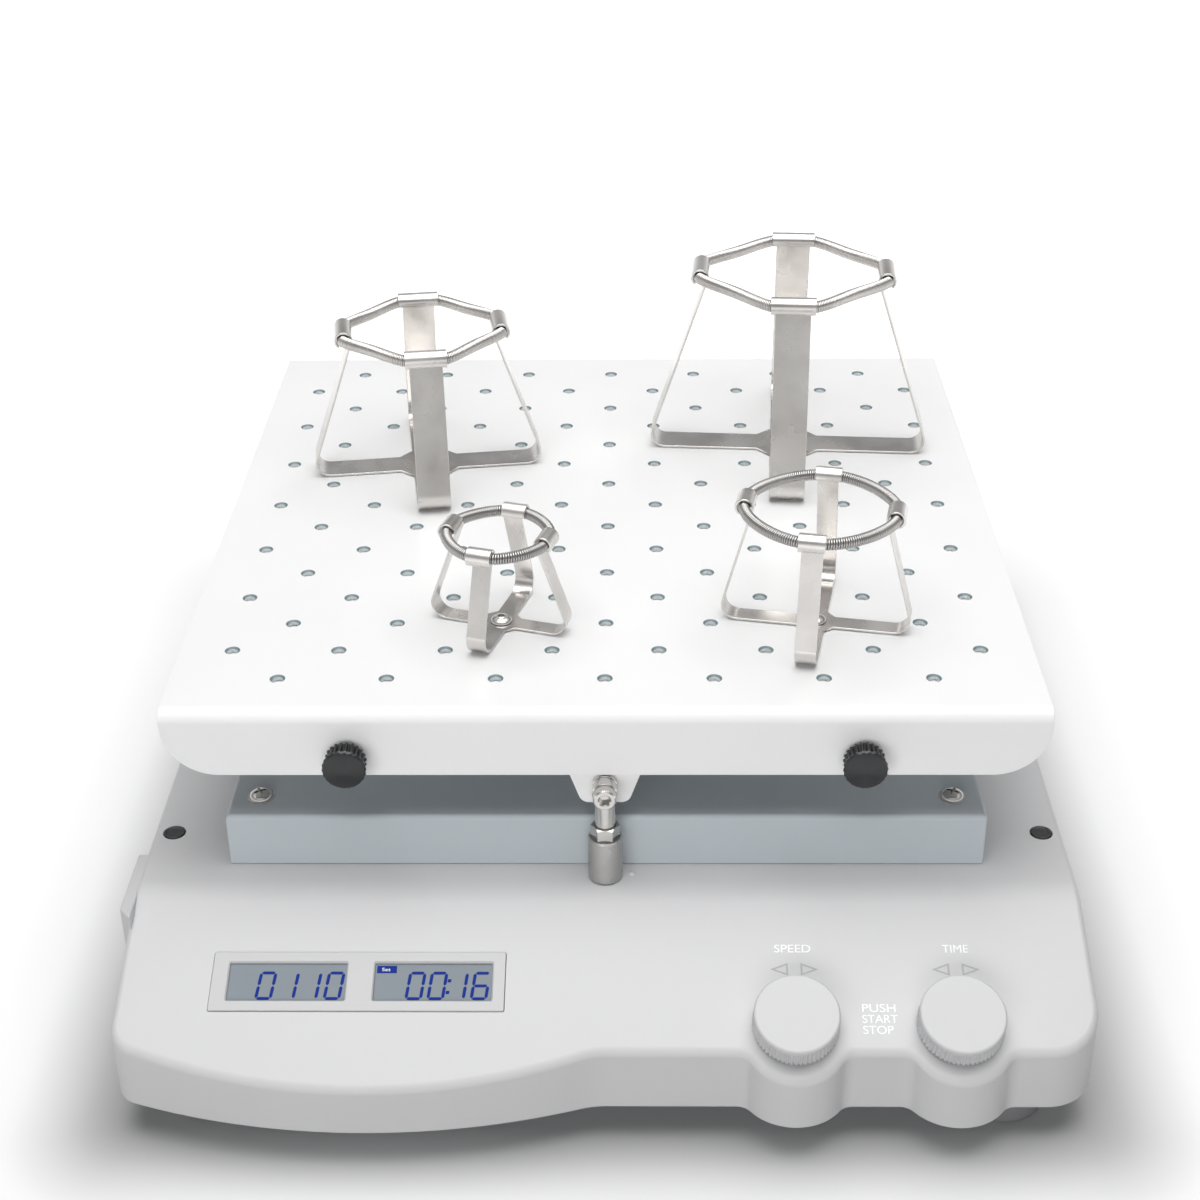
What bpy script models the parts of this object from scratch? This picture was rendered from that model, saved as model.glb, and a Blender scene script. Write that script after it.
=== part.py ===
"""Rocking shaker for a laboratory bench, with a perforated platform and four flask clamps.

A low moulded housing carries two pivot posts, front and rear. A sheet platform hangs between
them and rocks from side to side, driven by a crank roller that works in a fork under it.
Metres, +Z up. The origin is on the bench, under the middle of the housing. -Y is the front.
"""
import math

import bmesh
import bpy
from mathutils import Matrix, Vector

# Housing
BASE_WIDTH = 0.348
FRONT_WALL_TOP = 0.04076
FOOT_HEIGHT = 0.015
HOUSING_WALL = 0.003
CREST_RADIUS = 0.0025
PANEL_SLOPE_DEG = 22.0
PANEL_DEPTH = 0.060
ROLL_RADIUS = 0.028
BELLY_FROM_SIDE = 0.0896
BELLY_RISE = 0.0134
BELLY_HALF_CHORD = 0.0803
BELLY_FILLET = 0.030
LEFT_CORNER_RADIUS = 0.010
RIGHT_CORNER_RADIUS = 0.018
REAR_CORNER_RADIUS = 0.020
BULGE_FILLET = 0.006

# Side pod with the mains switch, on the left wall
POD_BEHIND_EDGE = 0.0225
POD_LENGTH = 0.038
POD_PROUD = 0.0032
POD_HEIGHT = 0.0235
POD_BELOW_DECK = 0.0006
POD_FRONT_CHAMFER = 0.005
SWITCH_LENGTH = 0.021
SWITCH_HEIGHT = 0.013
SWITCH_DEPTH = 0.016
SWITCH_RIM = 0.0018
SWITCH_RECESS = 0.0016
ROCKER_PROUD = 0.0018
ROCKER_TILT_DEG = 8.0

# Base plate, feet and deck plugs
BASE_PLATE_THICKNESS = 0.002
BASE_PLATE_GAP = 0.0005
FOOT_RADIUS = 0.016
FOOT_WAIST = 0.0135
FOOT_ROUND = 0.003
FOOT_FROM_SIDE = 0.030
FOOT_FROM_FRONT = 0.023
FOOT_FROM_REAR = 0.034
PLUG_RADIUS = 0.004
PLUG_DEPTH = 0.0016
PLUG_FROM_SIDE = 0.008
PLUG_BEHIND_EDGE = 0.0352
PLUG_FROM_REAR = 0.0366

# Control panel
KNOB_FROM_SIDE = 0.0495
KNOB_SPACING = 0.0575
KNOB_FROM_EDGE = 0.0546
KNOB_RADIUS = 0.0154
KNOB_LEDGE = 0.0043
KNOB_TOP = 0.010
KNOB_BOTTOM = 0.0013
KNOB_BEVEL = 0.0009
KNOB_KNURL = 0.0005
KNOB_SKIN = 0.0025
KNOB_HUB_RADIUS = 0.0055
KNOB_TRAVEL = 0.0008
KNURL_TEETH = 24
SHAFT_RADIUS = 0.003
BUSHING_RADIUS = 0.0042
BUSHING_PROUD = 0.0008
ENCODER_SIDE = 0.013
ENCODER_HEIGHT = 0.007
ACTUATOR_HEIGHT = 0.001
BOARD_BELOW_PANEL = 0.014
BOARD_THICKNESS = 0.0016
BOARD_MARGIN = 0.008
DISPLAY_FROM_SIDE = 0.086
DISPLAY_FROM_EDGE = 0.0376
DISPLAY_WIDTH = 0.105
DISPLAY_HEIGHT = 0.0232
DISPLAY_PROUD = 0.0006
DISPLAY_THICKNESS = 0.004
WINDOW_WIDTH = 0.0422
WINDOW_HEIGHT = 0.0149
WINDOW_PITCH = 0.0522
WINDOW_SHIFT = 0.0007
LCD_BELOW_FRAME = 0.0012
LCD_SHOULDER = 0.002

# Mechanism cover on the deck
COVER_WIDTH = 0.282
COVER_TO_POST = 0.0004
COVER_HEIGHT = 0.0214
COVER_SHEET = 0.0012
COVER_BEND = 0.002
COVER_SLOT_WIDTH = 0.034
COVER_SLOT_LENGTH = 0.036

# Rocking axis and pivots
PIVOT_ABOVE_DECK = 0.038
POST_BEYOND_CARRIER = 0.0051
POST_TO_EDGE = 0.0088
POST_TO_REAR = 0.0102
POST_RADIUS = 0.0064
POST_HEIGHT = 0.0181
POST_BEVEL = 0.0006
NUT_FLATS = 0.0094
NUT_HEIGHT = 0.005
ROD_RADIUS = 0.00385
EYE_RADIUS = 0.0046
EYE_LENGTH = 0.0046
SCREW_RADIUS = 0.0025
SCREW_HEAD_RADIUS = 0.00425
SCREW_HEAD_HEIGHT = 0.0038
SCREW_SOCKET_FLATS = 0.004
SCREW_SOCKET_DEPTH = 0.0022
SCREW_TAIL = 0.003
PIVOT_CLEARANCE = 0.0002

# Platform
PLATE_WIDTH = 0.320
PLATE_DEPTH = 0.326
PLATE_ABOVE_AXIS = 0.032
PLATE_SHEET = 0.002
PLATE_BEND = 0.005
LIP_HEIGHT = 0.027
LIP_CORNER = 0.020
HOLE_PITCH = 0.040
HOLE_RADIUS = 0.0023
HOLE_ROWS = 15
HOLES_IN_SHORT_ROW = 7
CARRIER_WIDTH = 0.300
CARRIER_SHEET = 0.0015
CARRIER_FLANGE = 0.020
TAB_TOP_WIDTH = 0.0298
TAB_BOTTOM_WIDTH = 0.0172
TAB_BELOW_AXIS = 0.0085
TAB_CORNER = 0.003
THUMB_X = 0.093
THUMB_BELOW_TOP = 0.0185
THUMB_RADIUS = 0.008
THUMB_LENGTH = 0.0095
THUMB_KNURL = 0.0008
THUMB_TEETH = 12
THUMB_NECK_RADIUS = 0.005
THUMB_NECK_LENGTH = 0.0018
THUMB_BEVEL = 0.0012
THUMB_SHANK_RADIUS = 0.002
THUMB_SHANK_LENGTH = 0.006

# Drive
ROCK_DEG = 9.0
ROLLER_BELOW_AXIS = 0.028
ROLLER_RADIUS = 0.006
ROLLER_HEIGHT = 0.006
PIN_RADIUS = 0.002
CRANK_SHAFT_RADIUS = 0.004
CRANK_WEB_RADIUS = 0.012
CRANK_WEB_HEIGHT = 0.0022
FORK_CLEARANCE = 0.0011
FORK_TINE = 0.003
FORK_LENGTH = 0.024
FORK_FLANGE_WIDTH = 0.040
FORK_FLANGE = 0.003
FORK_BELOW_ROLLER = 0.0018
BEARING_FLANGE_RADIUS = 0.025
BEARING_FLANGE = 0.0022
BEARING_RADIUS = 0.014
BEARING_LENGTH = 0.023
PULLEY_RADIUS = 0.030
PULLEY_WIDTH = 0.010
PULLEY_RIM = 0.0015
PULLEY_RIM_WIDTH = 0.0015
MOTOR_PULLEY_RADIUS = 0.009
MOTOR_X = 0.088
MOTOR_RADIUS = 0.029
MOTOR_HEIGHT = 0.017
MOTOR_ROUND = 0.003
MOTOR_SHAFT_RADIUS = 0.003
MOTOR_SHAFT_DEPTH = 0.008
BRACKET_SIDE = 0.070
BRACKET_SHEET = 0.002
BELT_THICKNESS = 0.0015

# Power inlet in the rear wall
INLET_FROM_SIDE = 0.069
INLET_BELOW_DECK = 0.025
INLET_FLANGE_WIDTH = 0.031
INLET_FLANGE_HEIGHT = 0.024
INLET_FLANGE = 0.0012
INLET_BODY_WIDTH = 0.027
INLET_BODY_HEIGHT = 0.020
INLET_DEPTH = 0.018
INLET_WALL = 0.002

# Flask clamps, named after the flasks they hold: the middle of the foot bend and of the spring's
# ring, both as radii, the ring's height over the plate, and the width of the strip
CLAMP_500_FOOT = 0.0610
CLAMP_500_RING = 0.0400
CLAMP_500_HEIGHT = 0.0815
CLAMP_500_STRIP = 0.0150
CLAMP_250_FOOT = 0.0495
CLAMP_250_RING = 0.0335
CLAMP_250_HEIGHT = 0.0640
CLAMP_250_STRIP = 0.0140
CLAMP_100_FOOT = 0.0360
CLAMP_100_RING = 0.0280
CLAMP_100_HEIGHT = 0.0490
CLAMP_100_STRIP = 0.0080
CLAMP_25_FOOT = 0.0273
CLAMP_25_RING = 0.0190
CLAMP_25_HEIGHT = 0.0385
CLAMP_25_STRIP = 0.0075
LARGE_COIL = 0.0026
SMALL_COIL = 0.0023
CLAMP_SHEET = 0.0009
CLAMP_FOOT_BEND = 0.006
CLIP_GAP = 0.0004
CLIP_WIDEN_SHARE = 0.25
CLIP_WRAP_DEG = 250.0
HUB_HOLE_RADIUS = 0.0025
HUB_SHARE = 0.9
SPRING_WIRE = 0.0012

# Clearances and how finely round shapes are cut
SEAT_GAP = 0.0003
FIT_GAP = 0.0004
OVERRUN = 0.002
ROUND_SIDES = 16
SMALL_SIDES = 12
CURL_POINTS = 8

# Each clamp's place on the plate in hole pitches from its middle, to the right and to the rear,
# its turn in degrees, the share by which its ring is squared, and its spring's number of curls
CLAMP_PLACE_SHARES = {
    "clamp_500ml": (2, 1.5, -4, 0.12, 18),
    "clamp_250ml": (-2, 1, 8, 0.10, 16),
    "clamp_100ml": (2, -2.5, -11, 0.02, 13),
    "clamp_25ml": (-1, -2.5, -17, 0, 10),
}
CLAMP_SIZES = {
    "clamp_500ml": (CLAMP_500_FOOT, CLAMP_500_RING, CLAMP_500_HEIGHT, CLAMP_500_STRIP, LARGE_COIL),
    "clamp_250ml": (CLAMP_250_FOOT, CLAMP_250_RING, CLAMP_250_HEIGHT, CLAMP_250_STRIP, LARGE_COIL),
    "clamp_100ml": (CLAMP_100_FOOT, CLAMP_100_RING, CLAMP_100_HEIGHT, CLAMP_100_STRIP, SMALL_COIL),
    "clamp_25ml": (CLAMP_25_FOOT, CLAMP_25_RING, CLAMP_25_HEIGHT, CLAMP_25_STRIP, SMALL_COIL),
}

# Places that follow from the sizes above. The deck is as deep as the two posts need, and what
# stands on it takes its height from the deck.
SLOPE = math.radians(PANEL_SLOPE_DEG)
DECK_HEIGHT = FRONT_WALL_TOP + PANEL_DEPTH * math.tan(SLOPE)
CARRIER_HALF_DEPTH = PLATE_DEPTH / 2 - PLATE_SHEET - SEAT_GAP
POST_FROM_CENTRE = CARRIER_HALF_DEPTH + POST_BEYOND_CARRIER
DECK_DEPTH = POST_TO_EDGE + 2 * POST_FROM_CENTRE + POST_TO_REAR
BASE_DEPTH = BELLY_RISE + PANEL_DEPTH + DECK_DEPTH
FRONT_Y = -BASE_DEPTH / 2 + BELLY_RISE
REAR_Y = BASE_DEPTH / 2
DECK_EDGE_Y = FRONT_Y + PANEL_DEPTH
PLATFORM_Y = REAR_Y - POST_TO_REAR - POST_FROM_CENTRE
POD_REAR_Y = DECK_EDGE_Y + POD_BEHIND_EDGE
ROLL_Y = DECK_EDGE_Y + ROLL_RADIUS * math.tan(SLOPE / 2)
ROLL_Z = DECK_HEIGHT - ROLL_RADIUS
COVER_TOP = DECK_HEIGHT + SEAT_GAP + COVER_HEIGHT
COVER_DEPTH = 2 * (POST_FROM_CENTRE - POST_RADIUS - COVER_TO_POST)
PIVOT_HEIGHT = DECK_HEIGHT + PIVOT_ABOVE_DECK
PLATE_TOP = PIVOT_HEIGHT + PLATE_ABOVE_AXIS
ROLLER_Z = PIVOT_HEIGHT - ROLLER_BELOW_AXIS
CRANK_THROW = ROLLER_BELOW_AXIS * math.tan(math.radians(ROCK_DEG))
CARRIER_TOP = PLATE_TOP - PLATE_SHEET - SEAT_GAP
BELLY_X = -BASE_WIDTH / 2 + BELLY_FROM_SIDE
KNOB_X = BASE_WIDTH / 2 - KNOB_FROM_SIDE - KNOB_SPACING
DISPLAY_X = -BASE_WIDTH / 2 + DISPLAY_FROM_SIDE
INLET_X = BASE_WIDTH / 2 - INLET_FROM_SIDE
INLET_HEIGHT = DECK_HEIGHT - INLET_BELOW_DECK
PANEL_PLACE = Matrix.Translation((0, DECK_EDGE_Y, DECK_HEIGHT)) @ Matrix.Rotation(SLOPE, 4, "X")
TO_FRONT = Matrix.Rotation(math.radians(90), 4, "X")
TO_REAR = Matrix.Rotation(math.radians(-90), 4, "X")

COLOURS = {
    "housing": ((0.78, 0.78, 0.78), 0.45, 0.0),
    "white_coat": ((0.90, 0.90, 0.90), 0.35, 0.1),
    "grey_coat": ((0.60, 0.63, 0.65), 0.40, 0.2),
    "steel": ((0.72, 0.71, 0.69), 0.25, 1.0),
    "black_plastic": ((0.03, 0.03, 0.03), 0.45, 0.0),
    "rubber": ((0.25, 0.25, 0.26), 0.8, 0.0),
    "knob": ((0.80, 0.80, 0.80), 0.40, 0.0),
    "lcd": ((0.52, 0.57, 0.66), 0.2, 0.0),
    "board": ((0.05, 0.25, 0.12), 0.5, 0.0),
    "brass": ((0.75, 0.58, 0.28), 0.3, 1.0),
    "belt": ((0.05, 0.05, 0.05), 0.7, 0.0),
}


def clear_scene():
    for item in list(bpy.data.objects):
        bpy.data.objects.remove(item, do_unlink=True)


def finish_mesh(name, bm, finish, place=None):
    """Turn a bmesh into an object with its own material, at the place given."""
    bmesh.ops.recalc_face_normals(bm, faces=bm.faces)
    mesh = bpy.data.meshes.new(name)
    bm.to_mesh(mesh)
    bm.free()
    mesh.shade_smooth()
    mesh.set_sharp_from_angle(angle=math.radians(30))
    item = bpy.data.objects.new(name, mesh)
    bpy.context.collection.objects.link(item)
    if finish:
        mesh.materials.append(make_material(name, finish))
    if place is not None:
        item.matrix_world = place
    return item


def make_material(name, finish):
    colour, roughness, metallic = COLOURS[finish]
    material = bpy.data.materials.new(name)
    material.use_nodes = True
    shader = material.node_tree.nodes["Principled BSDF"]
    shader.inputs["Base Color"].default_value = (*colour, 1.0)
    shader.inputs["Roughness"].default_value = roughness
    shader.inputs["Metallic"].default_value = metallic
    return material


def add_prism(bm, outline, low, high):
    """A closed upright prism over a list of (x, y) points."""
    floor = [bm.verts.new((x, y, low)) for x, y in outline]
    roof = [bm.verts.new((x, y, high)) for x, y in outline]
    count = len(outline)
    bm.faces.new(list(reversed(floor)))
    bm.faces.new(roof)
    for i in range(count):
        j = (i + 1) % count
        bm.faces.new((floor[i], floor[j], roof[j], roof[i]))


def add_box(bm, low, high):
    outline = [(low[0], low[1]), (high[0], low[1]), (high[0], high[1]), (low[0], high[1])]
    add_prism(bm, outline, low[2], high[2])


def centred_box(bm, centre, size):
    low = [c - s / 2 for c, s in zip(centre, size)]
    high = [c + s / 2 for c, s in zip(centre, size)]
    add_box(bm, low, high)


def add_turned(bm, profile, sides, knurl=0.0, centre=(0.0, 0.0)):
    """Turn (radius, height) points about Z. A profile that starts and ends on the axis is a
    solid, any other one is a ring. A third item of True cuts teeth as deep as knurl."""
    closed_ring = profile[0][0] > 0
    rings = []
    for row in profile:
        radius, height = row[0], row[1]
        toothed = len(row) > 2 and row[2]
        if radius == 0:
            rings.append([bm.verts.new((centre[0], centre[1], height))])
            continue
        ring = []
        for i in range(sides):
            turn = 2 * math.pi * i / sides
            reach = radius - (knurl if toothed and i % 2 else 0)
            x = centre[0] + reach * math.cos(turn)
            y = centre[1] + reach * math.sin(turn)
            ring.append(bm.verts.new((x, y, height)))
        rings.append(ring)
    pairs = list(zip(rings, rings[1:]))
    if closed_ring:
        pairs.append((rings[-1], rings[0]))
    for first, second in pairs:
        for i in range(sides):
            j = (i + 1) % sides
            if len(first) == 1:
                bm.faces.new((first[0], second[j], second[i]))
            elif len(second) == 1:
                bm.faces.new((first[i], first[j], second[0]))
            else:
                bm.faces.new((first[i], first[j], second[j], second[i]))


def turned_object(name, profile, finish, place=None, sides=ROUND_SIDES, knurl=0.0):
    bm = bmesh.new()
    add_turned(bm, profile, sides, knurl)
    return finish_mesh(name, bm, finish, place)


def rod_profile(radius, low, high):
    return [(0, low), (radius, low), (radius, high), (0, high)]


def polygon(sides, flats, turn_deg=0.0):
    """Corners of a regular polygon given by its width across flats."""
    radius = flats / 2 / math.cos(math.pi / sides)
    start = math.radians(turn_deg)
    angles = [start + 2 * math.pi * i / sides for i in range(sides)]
    return [(radius * math.cos(a), radius * math.sin(a)) for a in angles]


def make_cutter(name, bm, place=None):
    cutter = finish_mesh(name, bm, None, place)
    cutter.hide_render = True
    cutter.display_type = "WIRE"
    return cutter


def join_by(item, other, operation):
    change = item.modifiers.new(other.name, "BOOLEAN")
    change.operation = operation
    change.solver = "EXACT"
    change.object = other


def cut(item, bm, place=None):
    join_by(item, make_cutter(item.name + "_cut_%d" % len(item.modifiers), bm, place), "DIFFERENCE")


def fuse(item, bm, place=None):
    join_by(item, make_cutter(item.name + "_add_%d" % len(item.modifiers), bm, place), "UNION")


def make_axis(name, place):
    """An empty whose Z axis is a joint's axis."""
    empty = bpy.data.objects.new(name, None)
    empty.matrix_world = place
    bpy.context.collection.objects.link(empty)
    return empty


def hang_on(item, empty):
    bpy.context.view_layer.update()
    item.parent = empty
    item.matrix_parent_inverse = empty.matrix_world.inverted()
    return item


def arc_points(centre, radius, start_deg, end_deg, steps, hollow=False):
    """Points along an arc, each with the direction that points out of the material."""
    points = []
    side = -1 if hollow else 1
    for i in range(steps + 1):
        turn = math.radians(start_deg + (end_deg - start_deg) * i / steps)
        dx, dy = math.cos(turn), math.sin(turn)
        points.append((centre[0] + radius * dx, centre[1] + radius * dy, side * dx, side * dy))
    return points


def surface_height(y, inset=0.0):
    """Height of the deck, its rolled front edge and the sloping panel, less the inset."""
    radius = ROLL_RADIUS - inset
    end_y = ROLL_Y - radius * math.sin(SLOPE)
    if y >= ROLL_Y:
        return DECK_HEIGHT - inset
    if y >= end_y:
        return ROLL_Z + math.sqrt(radius ** 2 - (ROLL_Y - y) ** 2)
    return ROLL_Z + radius * math.cos(SLOPE) - (end_y - y) * math.tan(SLOPE)


def bulge_points(x, y, radius):
    """The front wall swelling round a knob, with hollow fillets into the straight wall."""
    reach = math.sqrt((radius + BULGE_FILLET) ** 2 - (FRONT_Y - BULGE_FILLET - y) ** 2)
    fillet_y = FRONT_Y - BULGE_FILLET
    lean = math.degrees(math.atan2(y - fillet_y, reach))
    points = arc_points((x - reach, fillet_y), BULGE_FILLET, 90, lean, 3, hollow=True)
    points += arc_points((x, y), radius, 180 + lean, 360 - lean, 10)[1:-1]
    points += arc_points((x + reach, fillet_y), BULGE_FILLET, 180 - lean, 90, 3, hollow=True)
    return points


def housing_outline(inset=0.0):
    """Plan of the housing, anticlockwise from its front left corner. It returns the points
    and the places in that list of the roll's lines on the right and the left wall."""
    half = BASE_WIDTH / 2
    radius = (BELLY_HALF_CHORD ** 2 + BELLY_RISE ** 2) / (2 * BELLY_RISE)
    belly = (BELLY_X, -BASE_DEPTH / 2 + radius)
    corner_x = -half + LEFT_CORNER_RADIUS
    inner = radius - LEFT_CORNER_RADIUS
    corner_y = belly[1] - math.sqrt(inner ** 2 - (corner_x - BELLY_X) ** 2)
    start = math.degrees(math.atan2(corner_y - belly[1], corner_x - BELLY_X)) + 360
    fillet_y = FRONT_Y - BELLY_FILLET
    reach = math.sqrt((radius + BELLY_FILLET) ** 2 - (fillet_y - belly[1]) ** 2)
    end = math.degrees(math.atan2(fillet_y - belly[1], reach)) + 360
    points = arc_points((corner_x, corner_y), LEFT_CORNER_RADIUS, 180, start, 5)
    points += arc_points(belly, radius, start, end, 12)[1:-1]
    points += arc_points((BELLY_X + reach, fillet_y), BELLY_FILLET, end - 180, 90, 3, hollow=True)
    knob_y = DECK_EDGE_Y - KNOB_FROM_EDGE * math.cos(SLOPE)
    for k in range(2):
        points += bulge_points(KNOB_X + k * KNOB_SPACING, knob_y, KNOB_RADIUS + KNOB_LEDGE)
    right_centre = (half - RIGHT_CORNER_RADIUS, FRONT_Y + RIGHT_CORNER_RADIUS)
    points += arc_points(right_centre, RIGHT_CORNER_RADIUS, 270, 360, 5)
    radius_inside = ROLL_RADIUS - inset
    roll_steps = 4
    lines = [ROLL_Y - radius_inside * math.sin(SLOPE * i / roll_steps) for i in range(roll_steps + 1)]
    right = []
    for y in reversed(lines):
        right.append(len(points))
        points.append((half, y, 1, 0))
    corner_x = half - REAR_CORNER_RADIUS
    corner_y = REAR_Y - REAR_CORNER_RADIUS
    points += arc_points((corner_x, corner_y), REAR_CORNER_RADIUS, 0, 90, 4)
    points += arc_points((-corner_x, corner_y), REAR_CORNER_RADIUS, 90, 180, 4)
    left = []
    for y in lines:
        left.append(len(points))
        points.append((-half, y, -1, 0))
    return [(x - inset * nx, y - inset * ny, nx, ny) for x, y, nx, ny in points], right, left


def add_housing_solid(bm, inset, bottom, crest):
    """The housing's outer form, or with an inset the space inside it."""
    points, right, left = housing_outline(inset)
    rings = [[bm.verts.new((x, y, bottom)) for x, y, nx, ny in points]]
    steps = 3 if crest else 0
    for i in range(steps + 1):
        turn = math.pi / 2 * (i / steps if steps else 1)
        back = crest * (1 - math.cos(turn))
        drop = crest * (1 - math.sin(turn))
        ring = []
        for x, y, nx, ny in points:
            px, py = x - back * nx, y - back * ny
            ring.append(bm.verts.new((px, py, surface_height(py, inset) - drop)))
        rings.append(ring)
    count = len(points)
    for first, second in zip(rings, rings[1:]):
        for i in range(count):
            j = (i + 1) % count
            bm.faces.new((first[i], first[j], second[j], second[i]))
    top = rings[-1]
    bm.faces.new(list(reversed(rings[0])))
    bm.faces.new([top[left[-1]]] + top[:right[0] + 1])
    bm.faces.new(top[right[-1]:left[0] + 1])
    for k in range(len(right) - 1):
        low, high = right[k], right[k + 1]
        bm.faces.new((top[low], top[high], top[left[-2 - k]], top[left[-1 - k]]))


def pod_centre():
    """Middle of the pod's flat outer face, as (y, z)."""
    y = POD_REAR_Y - (POD_LENGTH - POD_FRONT_CHAMFER) / 2
    return y, DECK_HEIGHT - POD_BELOW_DECK - POD_HEIGHT / 2


def add_pod(bm):
    """Raised field on the left wall, level with the deck and cut off slantwise in front."""
    inner = -BASE_WIDTH / 2 + HOUSING_WALL / 2
    outer = -BASE_WIDTH / 2 - POD_PROUD
    front = POD_REAR_Y - POD_LENGTH
    outline = [(inner, POD_REAR_Y), (outer, POD_REAR_Y), (outer, front + POD_FRONT_CHAMFER)]
    outline.append((inner, front))
    top = DECK_HEIGHT - POD_BELOW_DECK
    add_prism(bm, outline, top - POD_HEIGHT, top)


def plug_places():
    half = BASE_WIDTH / 2 - PLUG_FROM_SIDE
    for x in (-half, half):
        for y in (DECK_EDGE_Y + PLUG_BEHIND_EDGE, REAR_Y - PLUG_FROM_REAR):
            yield x, y


def knob_place(index):
    shift = Matrix.Translation((KNOB_X + index * KNOB_SPACING, -KNOB_FROM_EDGE, 0))
    return PANEL_PLACE @ shift


def make_housing():
    bm = bmesh.new()
    add_housing_solid(bm, 0.0, FOOT_HEIGHT, CREST_RADIUS)
    housing = finish_mesh("base_housing", bm, "housing")
    bm = bmesh.new()
    add_pod(bm)
    fuse(housing, bm)
    bm = bmesh.new()
    add_housing_solid(bm, HOUSING_WALL, FOOT_HEIGHT - OVERRUN, 0.0)
    cut(housing, bm)
    reach = HOUSING_WALL + OVERRUN
    bm = bmesh.new()
    size = (DISPLAY_WIDTH + 2 * FIT_GAP, DISPLAY_HEIGHT + 2 * FIT_GAP, 2 * reach)
    centred_box(bm, (DISPLAY_X, -DISPLAY_FROM_EDGE, 0), size)
    for k in range(2):
        centre = (KNOB_X + k * KNOB_SPACING, -KNOB_FROM_EDGE)
        add_turned(bm, rod_profile(BUSHING_RADIUS + FIT_GAP, -reach, reach), SMALL_SIDES, 0, centre)
    cut(housing, bm, PANEL_PLACE)
    bm = bmesh.new()
    low, high = DECK_HEIGHT - reach, DECK_HEIGHT + OVERRUN
    radius = BEARING_RADIUS + FIT_GAP
    add_turned(bm, rod_profile(radius, low, high), ROUND_SIDES, 0, (0, PLATFORM_Y))
    for place in plug_places():
        floor = DECK_HEIGHT - PLUG_DEPTH
        add_turned(bm, rod_profile(PLUG_RADIUS + FIT_GAP, floor, high), SMALL_SIDES, 0, place)
    centre = (INLET_X, REAR_Y, INLET_HEIGHT)
    size = (INLET_BODY_WIDTH + 2 * FIT_GAP, 2 * reach, INLET_BODY_HEIGHT + 2 * FIT_GAP)
    centred_box(bm, centre, size)
    y, z = pod_centre()
    outer = -BASE_WIDTH / 2 - POD_PROUD
    size = (2 * reach + 2 * POD_PROUD, SWITCH_LENGTH + 2 * FIT_GAP, SWITCH_HEIGHT + 2 * FIT_GAP)
    centred_box(bm, (-BASE_WIDTH / 2, y, z), size)
    cut(housing, bm)
    bm = bmesh.new()
    rim = 2 * SWITCH_RIM + 2 * FIT_GAP
    size = (2 * SWITCH_RECESS, SWITCH_LENGTH + rim, SWITCH_HEIGHT + rim)
    centred_box(bm, (outer, y, z), size)
    cut(housing, bm)


def make_base_plate():
    points = housing_outline(HOUSING_WALL + BASE_PLATE_GAP)[0]
    bm = bmesh.new()
    low = FOOT_HEIGHT + BASE_PLATE_GAP
    add_prism(bm, [(x, y) for x, y, nx, ny in points], low, low + BASE_PLATE_THICKNESS)
    finish_mesh("base_plate", bm, "grey_coat")
    top = low - SEAT_GAP
    profile = [(0, 0), (FOOT_RADIUS - FOOT_ROUND, 0), (FOOT_RADIUS, FOOT_ROUND)]
    profile += [(FOOT_RADIUS, top - FOOT_ROUND), (FOOT_WAIST, top), (0, top)]
    for side, x in (("left", -1), ("right", 1)):
        for end, y in (("front", FRONT_Y + FOOT_FROM_FRONT), ("rear", REAR_Y - FOOT_FROM_REAR)):
            place = Matrix.Translation((x * (BASE_WIDTH / 2 - FOOT_FROM_SIDE), y, 0))
            turned_object("foot_%s_%s" % (end, side), profile, "rubber", place)


def make_deck_plugs():
    low = DECK_HEIGHT - PLUG_DEPTH + SEAT_GAP
    profile = [(0, low), (PLUG_RADIUS, low), (PLUG_RADIUS, DECK_HEIGHT)]
    profile += [(PLUG_RADIUS / 2, DECK_HEIGHT + SEAT_GAP), (0, DECK_HEIGHT + SEAT_GAP)]
    names = ("front_left", "rear_left", "front_right", "rear_right")
    for name, (x, y) in zip(names, plug_places()):
        place = Matrix.Translation((x, y, 0))
        turned_object("deck_plug_" + name, profile, "black_plastic", place, SMALL_SIDES)


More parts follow.
